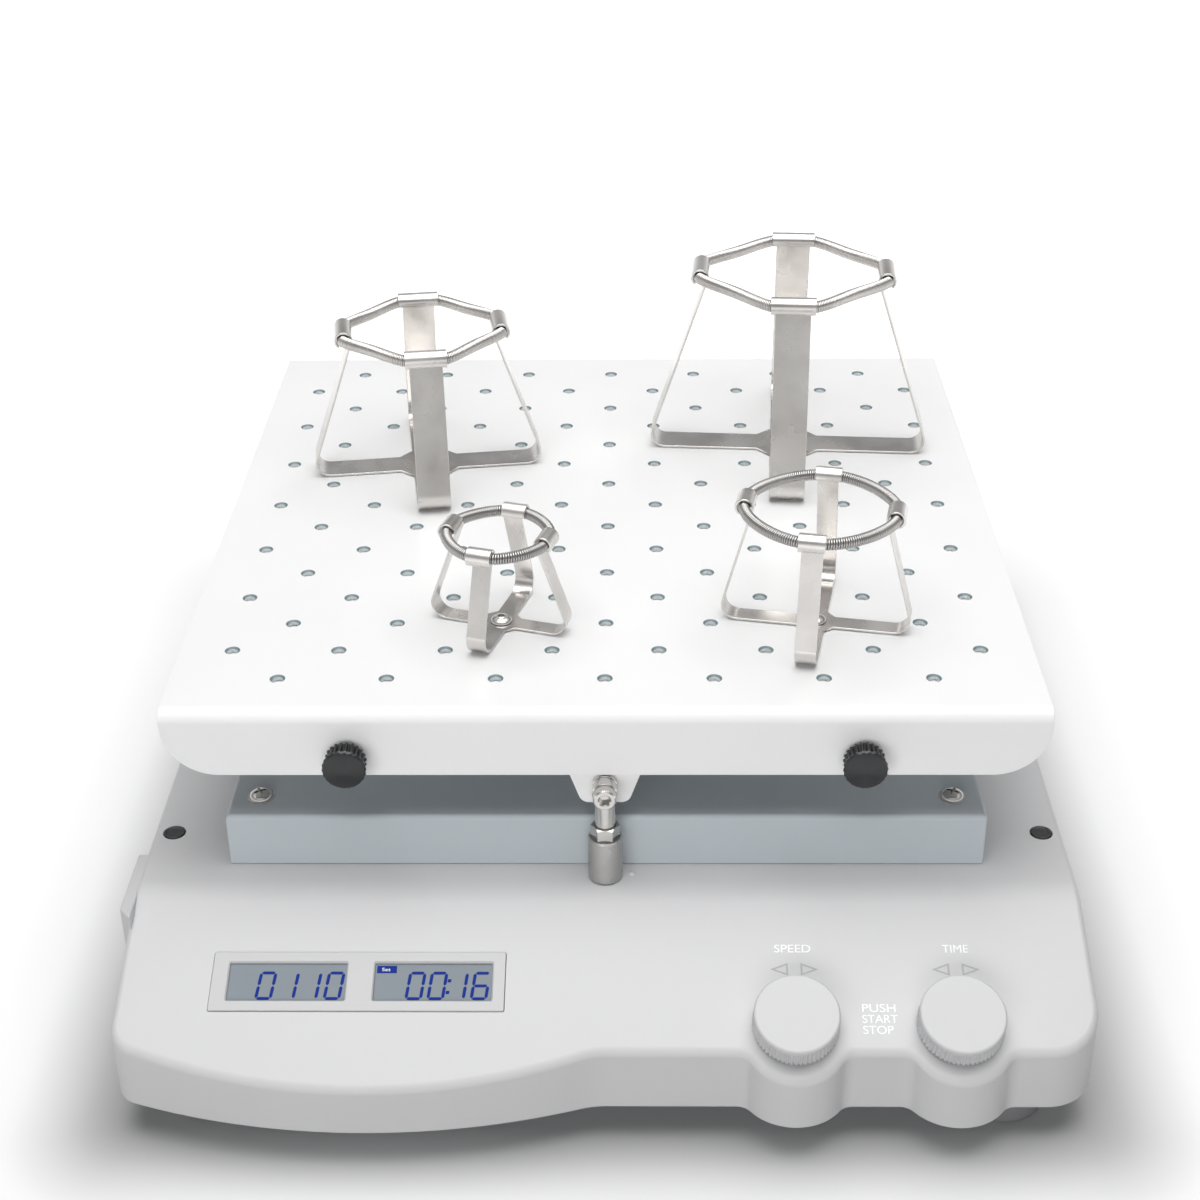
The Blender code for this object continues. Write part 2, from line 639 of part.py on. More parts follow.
def make_display():
    low = DISPLAY_PROUD - DISPLAY_THICKNESS
    bm = bmesh.new()
    centre = (DISPLAY_X, -DISPLAY_FROM_EDGE, (DISPLAY_PROUD + low) / 2)
    centred_box(bm, centre, (DISPLAY_WIDTH, DISPLAY_HEIGHT, DISPLAY_THICKNESS))
    frame = finish_mesh("display_frame", bm, "housing", PANEL_PLACE)
    bm = bmesh.new()
    for name, side in (("display_left", -1), ("display_right", 1)):
        x = DISPLAY_X + WINDOW_SHIFT + side * WINDOW_PITCH / 2
        size = (WINDOW_WIDTH, WINDOW_HEIGHT, DISPLAY_THICKNESS + 2 * OVERRUN)
        centred_box(bm, (x, -DISPLAY_FROM_EDGE, centre[2]), size)
        back = -BOARD_BELOW_PANEL + SEAT_GAP
        glass = bmesh.new()
        half_w = WINDOW_WIDTH / 2 + LCD_SHOULDER
        half_h = WINDOW_HEIGHT / 2 + LCD_SHOULDER
        y = -DISPLAY_FROM_EDGE
        add_box(glass, (x - half_w, y - half_h, back), (x + half_w, y + half_h, low - SEAT_GAP))
        module = finish_mesh(name, glass, "lcd", PANEL_PLACE)
        glass = bmesh.new()
        half_w = WINDOW_WIDTH / 2 - SEAT_GAP
        half_h = WINDOW_HEIGHT / 2 - SEAT_GAP
        top = DISPLAY_PROUD - LCD_BELOW_FRAME
        start = low - SEAT_GAP - LCD_SHOULDER
        add_box(glass, (x - half_w, y - half_h, start), (x + half_w, y + half_h, top))
        fuse(module, glass, PANEL_PLACE)
    cut(frame, bm, PANEL_PLACE)
    low_x = DISPLAY_X - DISPLAY_WIDTH / 2
    high_x = KNOB_X + KNOB_SPACING + ENCODER_SIDE / 2 + BOARD_MARGIN
    low_y = -KNOB_FROM_EDGE - ENCODER_SIDE / 2
    high_y = -DISPLAY_FROM_EDGE + DISPLAY_HEIGHT / 2
    top = -BOARD_BELOW_PANEL
    bm = bmesh.new()
    add_box(bm, (low_x, low_y, top - BOARD_THICKNESS), (high_x, high_y, top))
    finish_mesh("control_board", bm, "board", PANEL_PLACE)


def make_encoder(name, place):
    """A push encoder: fixed case with its bushing, a sliding actuator and, above it, a shaft."""
    low = -BOARD_BELOW_PANEL + SEAT_GAP
    high = low + ENCODER_HEIGHT
    bm = bmesh.new()
    centred_box(bm, (0, 0, (low + high) / 2), (ENCODER_SIDE, ENCODER_SIDE, ENCODER_HEIGHT))
    case = finish_mesh(name + "_encoder", bm, "steel", place)
    bm = bmesh.new()
    add_turned(bm, rod_profile(BUSHING_RADIUS, high - ENCODER_HEIGHT / 2, BUSHING_PROUD), SMALL_SIDES)
    fuse(case, bm, place)
    bm = bmesh.new()
    bore = SHAFT_RADIUS + SEAT_GAP
    add_turned(bm, rod_profile(bore, low - OVERRUN, BUSHING_PROUD + OVERRUN), SMALL_SIDES)
    cut(case, bm, place)
    push = make_axis(name + "_push_axis", place)
    bottom = low + KNOB_TRAVEL
    top = bottom + ACTUATOR_HEIGHT
    profile = rod_profile(SHAFT_RADIUS, bottom, top)
    actuator = turned_object(name + "_push_actuator", profile, "black_plastic", place, SMALL_SIDES)
    hang_on(actuator, push)
    turn = hang_on(make_axis(name + "_turn_axis", place), push)
    shaft_top = KNOB_TOP - KNOB_SKIN
    profile = rod_profile(SHAFT_RADIUS, top + SEAT_GAP, shaft_top)
    shaft = turned_object(name + "_knob_shaft", profile, "steel", place, SMALL_SIDES)
    hang_on(shaft, turn)
    hang_on(make_knob(name + "_knob", place, shaft_top), turn)


def make_knob(name, place, shaft_top):
    face = KNOB_RADIUS - KNOB_BEVEL
    profile = [(0, KNOB_BOTTOM), (KNOB_RADIUS, KNOB_BOTTOM, True)]
    profile += [(KNOB_RADIUS, KNOB_TOP - KNOB_BEVEL, True), (face, KNOB_TOP), (0, KNOB_TOP)]
    bm = bmesh.new()
    add_turned(bm, profile, 2 * KNURL_TEETH, KNOB_KNURL)
    knob = finish_mesh(name, bm, "knob", place)
    hub_low = BUSHING_PROUD + KNOB_TRAVEL + 2 * SEAT_GAP
    roof = shaft_top - KNOB_SKIN
    bore = SHAFT_RADIUS + SEAT_GAP
    wall = KNOB_RADIUS - KNOB_SKIN
    low = KNOB_BOTTOM - OVERRUN
    profile = [(0, low), (wall, low), (wall, roof), (KNOB_HUB_RADIUS, roof)]
    profile += [(KNOB_HUB_RADIUS, hub_low), (bore, hub_low)]
    profile += [(bore, shaft_top + SEAT_GAP), (0, shaft_top + SEAT_GAP)]
    bm = bmesh.new()
    add_turned(bm, profile, ROUND_SIDES)
    cut(knob, bm, place)
    return knob


def make_switch():
    """Mains rocker switch: a frame set into the pod, and the rocker tilting in it."""
    y, z = pod_centre()
    outer = -BASE_WIDTH / 2 - POD_PROUD
    seat = outer + SWITCH_RECESS - SEAT_GAP
    bm = bmesh.new()
    rim_y = SWITCH_LENGTH / 2 + SWITCH_RIM
    rim_z = SWITCH_HEIGHT / 2 + SWITCH_RIM
    add_box(bm, (outer, y - rim_y, z - rim_z), (seat, y + rim_y, z + rim_z))
    frame = finish_mesh("power_switch_frame", bm, "black_plastic")
    bm = bmesh.new()
    half_y, half_z = SWITCH_LENGTH / 2, SWITCH_HEIGHT / 2
    inner = outer + SWITCH_DEPTH
    add_box(bm, (outer + SEAT_GAP, y - half_y, z - half_z), (inner, y + half_y, z + half_z))
    fuse(frame, bm)
    bm = bmesh.new()
    hollow_y, hollow_z = half_y - SWITCH_RIM, half_z - SWITCH_RIM
    floor = inner - SWITCH_RIM
    add_box(bm, (outer - OVERRUN, y - hollow_y, z - hollow_z), (floor, y + hollow_y, z + hollow_z))
    cut(frame, bm)
    reach = hollow_y - 2 * SEAT_GAP - SWITCH_RIM / 2
    depth = SWITCH_DEPTH / 2
    tilt = math.radians(ROCKER_TILT_DEG)
    axis_x = outer + depth / 2
    place = Matrix.Translation((axis_x, y, z))
    front = -depth / 2 - ROCKER_PROUD
    outline = [(front, -reach), (front + ROCKER_PROUD / 2, 0), (front, reach)]
    outline += [(depth / 4, reach * 2 / 3), (depth / 2, 0), (depth / 4, -reach * 2 / 3)]
    outline = [(x * math.cos(tilt) - v * math.sin(tilt), x * math.sin(tilt) + v * math.cos(tilt))
               for x, v in outline]
    bm = bmesh.new()
    half = hollow_z - SEAT_GAP
    add_prism(bm, outline, -half, half)
    rocker = finish_mesh("power_rocker", bm, "black_plastic", place)
    hang_on(rocker, make_axis("power_rocker_axis", place))


def make_inlet():
    half_w, half_h = INLET_BODY_WIDTH / 2, INLET_BODY_HEIGHT / 2
    flange_w, flange_h = INLET_FLANGE_WIDTH / 2, INLET_FLANGE_HEIGHT / 2
    face = REAR_Y + SEAT_GAP + INLET_FLANGE
    bm = bmesh.new()
    low = (INLET_X - flange_w, REAR_Y + SEAT_GAP, INLET_HEIGHT - flange_h)
    add_box(bm, low, (INLET_X + flange_w, face, INLET_HEIGHT + flange_h))
    inlet = finish_mesh("power_inlet", bm, "black_plastic")
    bm = bmesh.new()
    low = (INLET_X - half_w, REAR_Y - INLET_DEPTH, INLET_HEIGHT - half_h)
    high = (INLET_X + half_w, face - INLET_FLANGE / 2, INLET_HEIGHT + half_h)
    add_box(bm, low, high)
    fuse(inlet, bm)
    bm = bmesh.new()
    half_w -= INLET_WALL
    half_h -= INLET_WALL
    floor = REAR_Y - INLET_DEPTH + INLET_WALL
    low = (INLET_X - half_w, floor, INLET_HEIGHT - half_h)
    add_box(bm, low, (INLET_X + half_w, face + OVERRUN, INLET_HEIGHT + half_h))
    cut(inlet, bm)


def make_cover():
    """Folded sheet cover over the crank, open below, with a slot for the drive fork."""
    low = DECK_HEIGHT + SEAT_GAP
    half_d = COVER_DEPTH / 2
    outline = [(-half_d, low), (half_d, low)]
    for side, start in ((1, 0), (-1, 90)):
        centre = (side * (half_d - COVER_BEND), COVER_TOP - COVER_BEND)
        outline += [(y, z) for y, z, a, b in arc_points(centre, COVER_BEND, start, start + 90, 3)]
    cover = add_channel("mechanism_cover", COVER_WIDTH, outline, "grey_coat")
    bm = bmesh.new()
    centre = (0, PLATFORM_Y, (low - OVERRUN + COVER_TOP - COVER_SHEET) / 2)
    size = (COVER_WIDTH - 2 * COVER_SHEET, COVER_DEPTH - 2 * COVER_SHEET)
    centred_box(bm, centre, (*size, COVER_TOP - COVER_SHEET - low + OVERRUN))
    cut(cover, bm)
    bm = bmesh.new()
    size = (COVER_SLOT_WIDTH, COVER_SLOT_LENGTH, 2 * COVER_SHEET + 2 * OVERRUN)
    centred_box(bm, (0, PLATFORM_Y, COVER_TOP), size)
    cut(cover, bm)


def make_pivot(end, side, rock_axis):
    """Post, lock nut, rod with its eye, washer and cap screw, at one end of the rocking axis."""
    y = PLATFORM_Y + side * POST_FROM_CENTRE
    upright = Matrix.Translation((0, y, 0))
    low = DECK_HEIGHT + SEAT_GAP
    top = low + POST_HEIGHT
    bore = ROD_RADIUS + SEAT_GAP
    profile = [(bore, low), (POST_RADIUS, low), (POST_RADIUS, top - POST_BEVEL)]
    profile += [(POST_RADIUS - POST_BEVEL, top), (bore, top)]
    turned_object(end + "_post", profile, "steel", upright)
    bm = bmesh.new()
    nut_low = top + SEAT_GAP
    add_prism(bm, polygon(6, NUT_FLATS), nut_low, nut_low + NUT_HEIGHT)
    nut = finish_mesh(end + "_lock_nut", bm, "steel", upright)
    bm = bmesh.new()
    add_turned(bm, rod_profile(bore, nut_low - OVERRUN, nut_low + NUT_HEIGHT + OVERRUN), SMALL_SIDES)
    cut(nut, bm, upright)
    bm = bmesh.new()
    add_turned(bm, rod_profile(ROD_RADIUS, low, PIVOT_HEIGHT - SCREW_RADIUS / 2), SMALL_SIDES)
    rod = finish_mesh(end + "_pivot_rod", bm, "steel", upright)
    eye = Matrix.Translation((0, y, PIVOT_HEIGHT)) @ (TO_FRONT if side < 0 else TO_REAR)
    half = EYE_LENGTH / 2
    bm = bmesh.new()
    add_turned(bm, rod_profile(EYE_RADIUS, -half, half), ROUND_SIDES)
    fuse(rod, bm, eye)
    bm = bmesh.new()
    reach = ROD_RADIUS + OVERRUN
    add_turned(bm, rod_profile(SCREW_RADIUS + PIVOT_CLEARANCE, -reach, reach), ROUND_SIDES)
    cut(rod, bm, eye)
    bm = bmesh.new()
    for near, far in ((half, reach), (-reach, -half)):
        add_box(bm, (-EYE_RADIUS, -EYE_RADIUS, near), (EYE_RADIUS, EYE_RADIUS, far))
    cut(rod, bm, eye)
    tab = CARRIER_HALF_DEPTH - POST_FROM_CENTRE
    washer_hole = SCREW_RADIUS + PIVOT_CLEARANCE
    profile = [(washer_hole, -half - SEAT_GAP), (washer_hole, tab + SEAT_GAP)]
    profile += [(EYE_RADIUS, tab + SEAT_GAP), (EYE_RADIUS, -half - SEAT_GAP)]
    hang_on(turned_object(end + "_pivot_washer", profile, "steel", eye), rock_axis)
    head = half + SEAT_GAP
    tail = tab - CARRIER_SHEET - SCREW_TAIL
    profile = [(0, tail), (SCREW_RADIUS, tail), (SCREW_RADIUS, head), (SCREW_HEAD_RADIUS, head)]
    profile += [(SCREW_HEAD_RADIUS, head + SCREW_HEAD_HEIGHT), (0, head + SCREW_HEAD_HEIGHT)]
    screw = turned_object(end + "_pivot_screw", profile, "steel", eye)
    bm = bmesh.new()
    floor = head + SCREW_HEAD_HEIGHT - SCREW_SOCKET_DEPTH
    add_prism(bm, polygon(6, SCREW_SOCKET_FLATS), floor, head + SCREW_HEAD_HEIGHT + OVERRUN)
    cut(screw, bm, eye)
    hang_on(screw, rock_axis)


def channel_section(half, top, low, bend, sheet):
    """Side view of a sheet folded down at both ends, (y, z) points round it."""
    centre_y, centre_z = half - bend, top - bend
    inner = bend - sheet
    points = [(half, low)]
    points += [(y, z) for y, z, a, b in arc_points((centre_y, centre_z), bend, 0, 90, 4)]
    points += [(y, z) for y, z, a, b in arc_points((-centre_y, centre_z), bend, 90, 180, 4)]
    points += [(-half, low), (-half + sheet, low)]
    points += [(y, z) for y, z, a, b in arc_points((-centre_y, centre_z), inner, 180, 90, 4)]
    points += [(y, z) for y, z, a, b in arc_points((centre_y, centre_z), inner, 90, 0, 4)]
    points.append((half - sheet, low))
    return points


def add_channel(name, width, section, finish):
    """A folded sheet as wide as given along X, over the middle of the platform."""
    bm = bmesh.new()
    add_prism(bm, section, -width / 2, width / 2)
    turn = Matrix(((0, 0, 1, 0), (1, 0, 0, 0), (0, 1, 0, 0), (0, 0, 0, 1)))
    return finish_mesh(name, bm, finish, Matrix.Translation((0, PLATFORM_Y, 0)) @ turn)


def tab_outline():
    """Front view of a pivot tab, (x, z) points from the flange above it downwards."""
    low = CARRIER_TOP - CARRIER_FLANGE
    bottom = PIVOT_HEIGHT - TAB_BELOW_AXIS
    wide, narrow = TAB_TOP_WIDTH / 2, TAB_BOTTOM_WIDTH / 2
    points = [(wide, low + CARRIER_FLANGE / 2), (wide, low)]
    points += [(narrow + TAB_CORNER / 2, bottom + TAB_CORNER), (narrow - TAB_CORNER, bottom)]
    points += [(-narrow + TAB_CORNER, bottom), (-narrow - TAB_CORNER / 2, bottom + TAB_CORNER)]
    points += [(-wide, low), (-wide, low + CARRIER_FLANGE / 2)]
    return points


def make_carrier(rock_axis):
    """Folded sheet tray under the plate, with a pivot tab on its front and rear flange."""
    half_d = CARRIER_HALF_DEPTH
    low = CARRIER_TOP - CARRIER_FLANGE
    bend = PLATE_BEND - PLATE_SHEET - SEAT_GAP
    section = channel_section(half_d, CARRIER_TOP, low, bend, CARRIER_SHEET)
    carrier = add_channel("platform_carrier", CARRIER_WIDTH, section, "white_coat")
    for side in (-1, 1):
        bm = bmesh.new()
        add_prism(bm, tab_outline(), -CARRIER_SHEET / 2, CARRIER_SHEET / 2)
        y = PLATFORM_Y + side * (half_d - CARRIER_SHEET / 2)
        fuse(carrier, bm, Matrix.Translation((0, y, 0)) @ TO_FRONT)
    bm = bmesh.new()
    reach = half_d + OVERRUN
    hole = rod_profile(SCREW_RADIUS + SEAT_GAP, -reach, reach)
    add_turned(bm, hole, ROUND_SIDES)
    for x in (-THUMB_X, THUMB_X):
        hole = rod_profile(THUMB_SHANK_RADIUS + SEAT_GAP, -reach, reach)
        lift = PLATE_TOP - THUMB_BELOW_TOP - PIVOT_HEIGHT
        add_turned(bm, hole, SMALL_SIDES, 0, (x, lift))
    cut(carrier, bm, Matrix.Translation((0, PLATFORM_Y, PIVOT_HEIGHT)) @ TO_FRONT)
    hang_on(carrier, rock_axis)


def hole_places():
    """The staggered hole pattern: odd rows are short, even rows have one hole more."""
    for row in range(HOLE_ROWS):
        count = HOLES_IN_SHORT_ROW + row % 2
        y = (row - (HOLE_ROWS - 1) / 2) * HOLE_PITCH / 2
        for i in range(count):
            yield (i - (count - 1) / 2) * HOLE_PITCH, y


def make_plate(rock_axis):
    """The perforated plate, folded down at the front and the rear, with rounded lip corners."""
    low = PLATE_TOP - LIP_HEIGHT
    section = channel_section(PLATE_DEPTH / 2, PLATE_TOP, low, PLATE_BEND, PLATE_SHEET)
    plate = add_channel("platform_plate", PLATE_WIDTH, section, "white_coat")
    bm = bmesh.new()
    for side in (-1, 1):
        centre = (side * (PLATE_WIDTH / 2 - LIP_CORNER), low + LIP_CORNER)
        start = 270
        end = 270 + side * 90
        arc = [(x, z) for x, z, a, b in arc_points(centre, LIP_CORNER, start, end, 6)]
        outer = side * (PLATE_WIDTH / 2 + OVERRUN)
        arc = [(arc[0][0], low - OVERRUN)] + arc + [(outer, arc[-1][1]), (outer, low - OVERRUN)]
        add_prism(bm, arc, -PLATE_DEPTH / 2 - OVERRUN, PLATE_DEPTH / 2 + OVERRUN)
    cut(plate, bm, Matrix.Translation((0, PLATFORM_Y, 0)) @ TO_FRONT)
    bm = bmesh.new()
    for x, y in hole_places():
        top, bottom = PLATE_TOP + OVERRUN, PLATE_TOP - PLATE_SHEET - OVERRUN
        add_turned(bm, rod_profile(HOLE_RADIUS, bottom, top), 6, 0, (x, PLATFORM_Y + y))
    cut(plate, bm)
    bm = bmesh.new()
    reach = PLATE_DEPTH / 2 + OVERRUN
    for x in (-THUMB_X, THUMB_X):
        hole = rod_profile(THUMB_SHANK_RADIUS + SEAT_GAP, -reach, reach)
        add_turned(bm, hole, SMALL_SIDES, 0, (x, PLATE_TOP - THUMB_BELOW_TOP))
    cut(plate, bm, Matrix.Translation((0, PLATFORM_Y, 0)) @ TO_FRONT)
    hang_on(plate, rock_axis)


def make_thumb_screws(rock_axis):
    start = SEAT_GAP
    neck = start + THUMB_NECK_LENGTH
    end = neck + THUMB_LENGTH
    tail = -THUMB_SHANK_LENGTH
    profile = [(0, tail), (THUMB_SHANK_RADIUS, tail), (THUMB_SHANK_RADIUS, start)]
    profile += [(THUMB_NECK_RADIUS, start), (THUMB_NECK_RADIUS, neck), (THUMB_RADIUS, neck, True)]
    profile += [(THUMB_RADIUS, end - THUMB_BEVEL, True), (THUMB_RADIUS - THUMB_BEVEL, end), (0, end)]
    for end_name, side, turn in (("front", -1, TO_FRONT), ("rear", 1, TO_REAR)):
        for side_name, x in (("left", -THUMB_X), ("right", THUMB_X)):
            y = PLATFORM_Y + side * PLATE_DEPTH / 2
            place = Matrix.Translation((x, y, PLATE_TOP - THUMB_BELOW_TOP)) @ turn
            name = "thumb_screw_%s_%s" % (end_name, side_name)
            screw = turned_object(name, profile, "black_plastic", place, 2 * THUMB_TEETH, THUMB_KNURL)
            hang_on(screw, hang_on(make_axis(name + "_axis", place), rock_axis))


def make_fork(rock_axis):
    """Inverted fork whose two tines hold the crank roller between them."""
    inner = ROLLER_RADIUS + FORK_CLEARANCE
    outer = inner + FORK_TINE
    top = CARRIER_TOP - CARRIER_SHEET - SEAT_GAP
    under = top - FORK_FLANGE
    low = ROLLER_Z - FORK_BELOW_ROLLER
    wide = FORK_FLANGE_WIDTH / 2
    outline = [(-wide, top), (-wide, under), (-outer, under), (-outer, low), (-inner, low)]
    outline += [(-inner, under), (inner, under), (inner, low), (outer, low), (outer, under)]
    outline += [(wide, under), (wide, top)]
    bm = bmesh.new()
    add_prism(bm, outline, -FORK_LENGTH / 2, FORK_LENGTH / 2)
    place = Matrix.Translation((0, PLATFORM_Y, 0)) @ TO_FRONT
    hang_on(finish_mesh("drive_fork", bm, "steel", place), rock_axis)


def make_crank():
    """Vertical crank: shaft and web, pin set off by the throw, crowned roller and pulley."""
    web_low = DECK_HEIGHT + 2 * SEAT_GAP + BEARING_FLANGE
    web_top = web_low + CRANK_WEB_HEIGHT
    bearing_low = DECK_HEIGHT - BEARING_LENGTH
    pulley_top = bearing_low - SEAT_GAP
    pulley_low = pulley_top - PULLEY_WIDTH
    place = Matrix.Translation((0, PLATFORM_Y, 0))
    axis = make_axis("crank_axis", place)
    profile = [(0, pulley_low), (CRANK_SHAFT_RADIUS, pulley_low), (CRANK_SHAFT_RADIUS, web_low)]
    profile += [(CRANK_WEB_RADIUS, web_low), (CRANK_WEB_RADIUS, web_top), (0, web_top)]
    crank = turned_object("crank_shaft", profile, "steel", place)
    bm = bmesh.new()
    half = ROLLER_HEIGHT / 2
    pin_top = ROLLER_Z + half + SEAT_GAP
    pin = rod_profile(PIN_RADIUS, web_low + CRANK_WEB_HEIGHT / 2, pin_top)
    add_turned(bm, pin, SMALL_SIDES, 0, (0, -CRANK_THROW))
    fuse(crank, bm, place)
    hang_on(crank, axis)
    bore = PIN_RADIUS + SEAT_GAP
    profile = [(bore, -half)]
    steps = 4
    for i in range(steps + 1):
        height = -half + ROLLER_HEIGHT * i / steps
        profile.append((math.sqrt(ROLLER_RADIUS ** 2 - height ** 2), height))
    profile.append((bore, half))
    pin_place = Matrix.Translation((0, PLATFORM_Y - CRANK_THROW, ROLLER_Z))
    hang_on(turned_object("crank_roller", profile, "brass", pin_place), axis)
    shaft_bore = CRANK_SHAFT_RADIUS + SEAT_GAP
    profile = pulley_profile(shaft_bore, PULLEY_RADIUS, pulley_low, pulley_top)
    hang_on(turned_object("crank_pulley", profile, "black_plastic", place, 24), axis)
    profile = [(shaft_bore, bearing_low), (BEARING_RADIUS, bearing_low)]
    flange = DECK_HEIGHT + SEAT_GAP
    profile += [(BEARING_RADIUS, flange), (BEARING_FLANGE_RADIUS, flange)]
    profile += [(BEARING_FLANGE_RADIUS, flange + BEARING_FLANGE), (shaft_bore, flange + BEARING_FLANGE)]
    turned_object("bearing_housing", profile, "steel", place)
    make_belt_drive(pulley_low, pulley_top)


def pulley_profile(bore, radius, low, high):
    """Half section of a flanged pulley, as a ring, or a solid where the bore is zero."""
    rim = radius + PULLEY_RIM
    profile = [(bore, low), (rim, low), (rim, low + PULLEY_RIM_WIDTH)]
    profile += [(radius, low + PULLEY_RIM_WIDTH), (radius, high - PULLEY_RIM_WIDTH)]
    profile += [(rim, high - PULLEY_RIM_WIDTH), (rim, high), (bore, high)]
    return profile


def belt_loop(growth):
    """Plan of the belt's inner or outer face: two arcs round the pulleys and two runs."""
    large, small = PULLEY_RADIUS + growth, MOTOR_PULLEY_RADIUS + growth
    lean = math.degrees(math.acos((large - small) / MOTOR_X))
    points = arc_points((0, 0), large, lean, 360 - lean, 20)
    points += arc_points((MOTOR_X, 0), small, -lean, lean, 10)
    return [(x, y) for x, y, a, b in points]


def make_belt_drive(low, high):
    """Belt, motor pulley, motor and the bracket that holds the motor under the deck."""
    bm = bmesh.new()
    belt_low = low + PULLEY_RIM_WIDTH + SEAT_GAP
    belt_high = high - PULLEY_RIM_WIDTH - SEAT_GAP
    loops = []
    for growth in (SEAT_GAP, SEAT_GAP + BELT_THICKNESS):
        outline = belt_loop(growth)
        for z in (belt_low, belt_high):
            loops.append([bm.verts.new((x, y, z)) for x, y in outline])
    count = len(loops[0])
    for first, second in ((0, 1), (1, 3), (3, 2), (2, 0)):
        for i in range(count):
            j = (i + 1) % count
            bm.faces.new((loops[first][i], loops[first][j], loops[second][j], loops[second][i]))
    finish_mesh("drive_belt", bm, "belt", Matrix.Translation((0, PLATFORM_Y, 0)))
    ceiling = DECK_HEIGHT - HOUSING_WALL - SEAT_GAP
    bm = bmesh.new()
    centre = (MOTOR_X, PLATFORM_Y, ceiling - BRACKET_SHEET / 2)
    centred_box(bm, centre, (BRACKET_SIDE, BRACKET_SIDE, BRACKET_SHEET))
    finish_mesh("motor_bracket", bm, "steel")
    place = Matrix.Translation((MOTOR_X, PLATFORM_Y, 0))
    motor_top = ceiling - BRACKET_SHEET - SEAT_GAP
    motor_low = motor_top - MOTOR_HEIGHT
    bore = MOTOR_SHAFT_RADIUS + SEAT_GAP
    roof = motor_low + MOTOR_SHAFT_DEPTH
    step = MOTOR_RADIUS - MOTOR_ROUND
    profile = [(0, motor_top), (step, motor_top), (MOTOR_RADIUS, motor_top - MOTOR_ROUND)]
    profile += [(MOTOR_RADIUS, motor_low), (bore, motor_low), (bore, roof), (0, roof)]
    turned_object("drive_motor", profile, "black_plastic", place)
    rim = MOTOR_PULLEY_RADIUS + PULLEY_RIM
    profile = [(0, low), (rim, low), (rim, low + PULLEY_RIM_WIDTH)]
    profile += [(MOTOR_PULLEY_RADIUS, low + PULLEY_RIM_WIDTH)]
    profile += [(MOTOR_PULLEY_RADIUS, high - PULLEY_RIM_WIDTH)]
    profile += [(rim, high - PULLEY_RIM_WIDTH), (rim, motor_low - SEAT_GAP)]
    profile += [(MOTOR_SHAFT_RADIUS, motor_low - SEAT_GAP)]
    profile += [(MOTOR_SHAFT_RADIUS, roof - SEAT_GAP), (0, roof - SEAT_GAP)]
    pulley = turned_object("motor_pulley", profile, "steel", place)
    hang_on(pulley, make_axis("motor_axis", place))


def arm_path(foot_radius, ring_radius, ring_height, coil_radius):
    """Centre line of a clamp arm, (radius, height) points from the hub out to the clip's end.
    It runs out on the plate, bends up round the foot, leans in along the common tangent of
    foot bend and clip, and curls outwards over the spring."""
    half = CLAMP_SHEET / 2
    floor = SEAT_GAP + half
    bend = CLAMP_FOOT_BEND
    curl = coil_radius + CLIP_GAP + half
    foot = (foot_radius - bend - half, floor + bend)
    away = (ring_radius - foot[0], ring_height - foot[1])
    length = math.hypot(*away)
    heading = math.degrees(math.atan2(away[1], away[0]) + math.asin((bend + curl) / length))
    path = [(x, z) for x, z, a, b in arc_points(foot, bend, -90, heading - 90, 3)]
    clip_start = len(path)
    clip = arc_points((ring_radius, ring_height), curl, heading + 90,
                      heading + 90 - CLIP_WRAP_DEG, 7)
    return path + [(x, z) for x, z, a, b in clip], clip_start


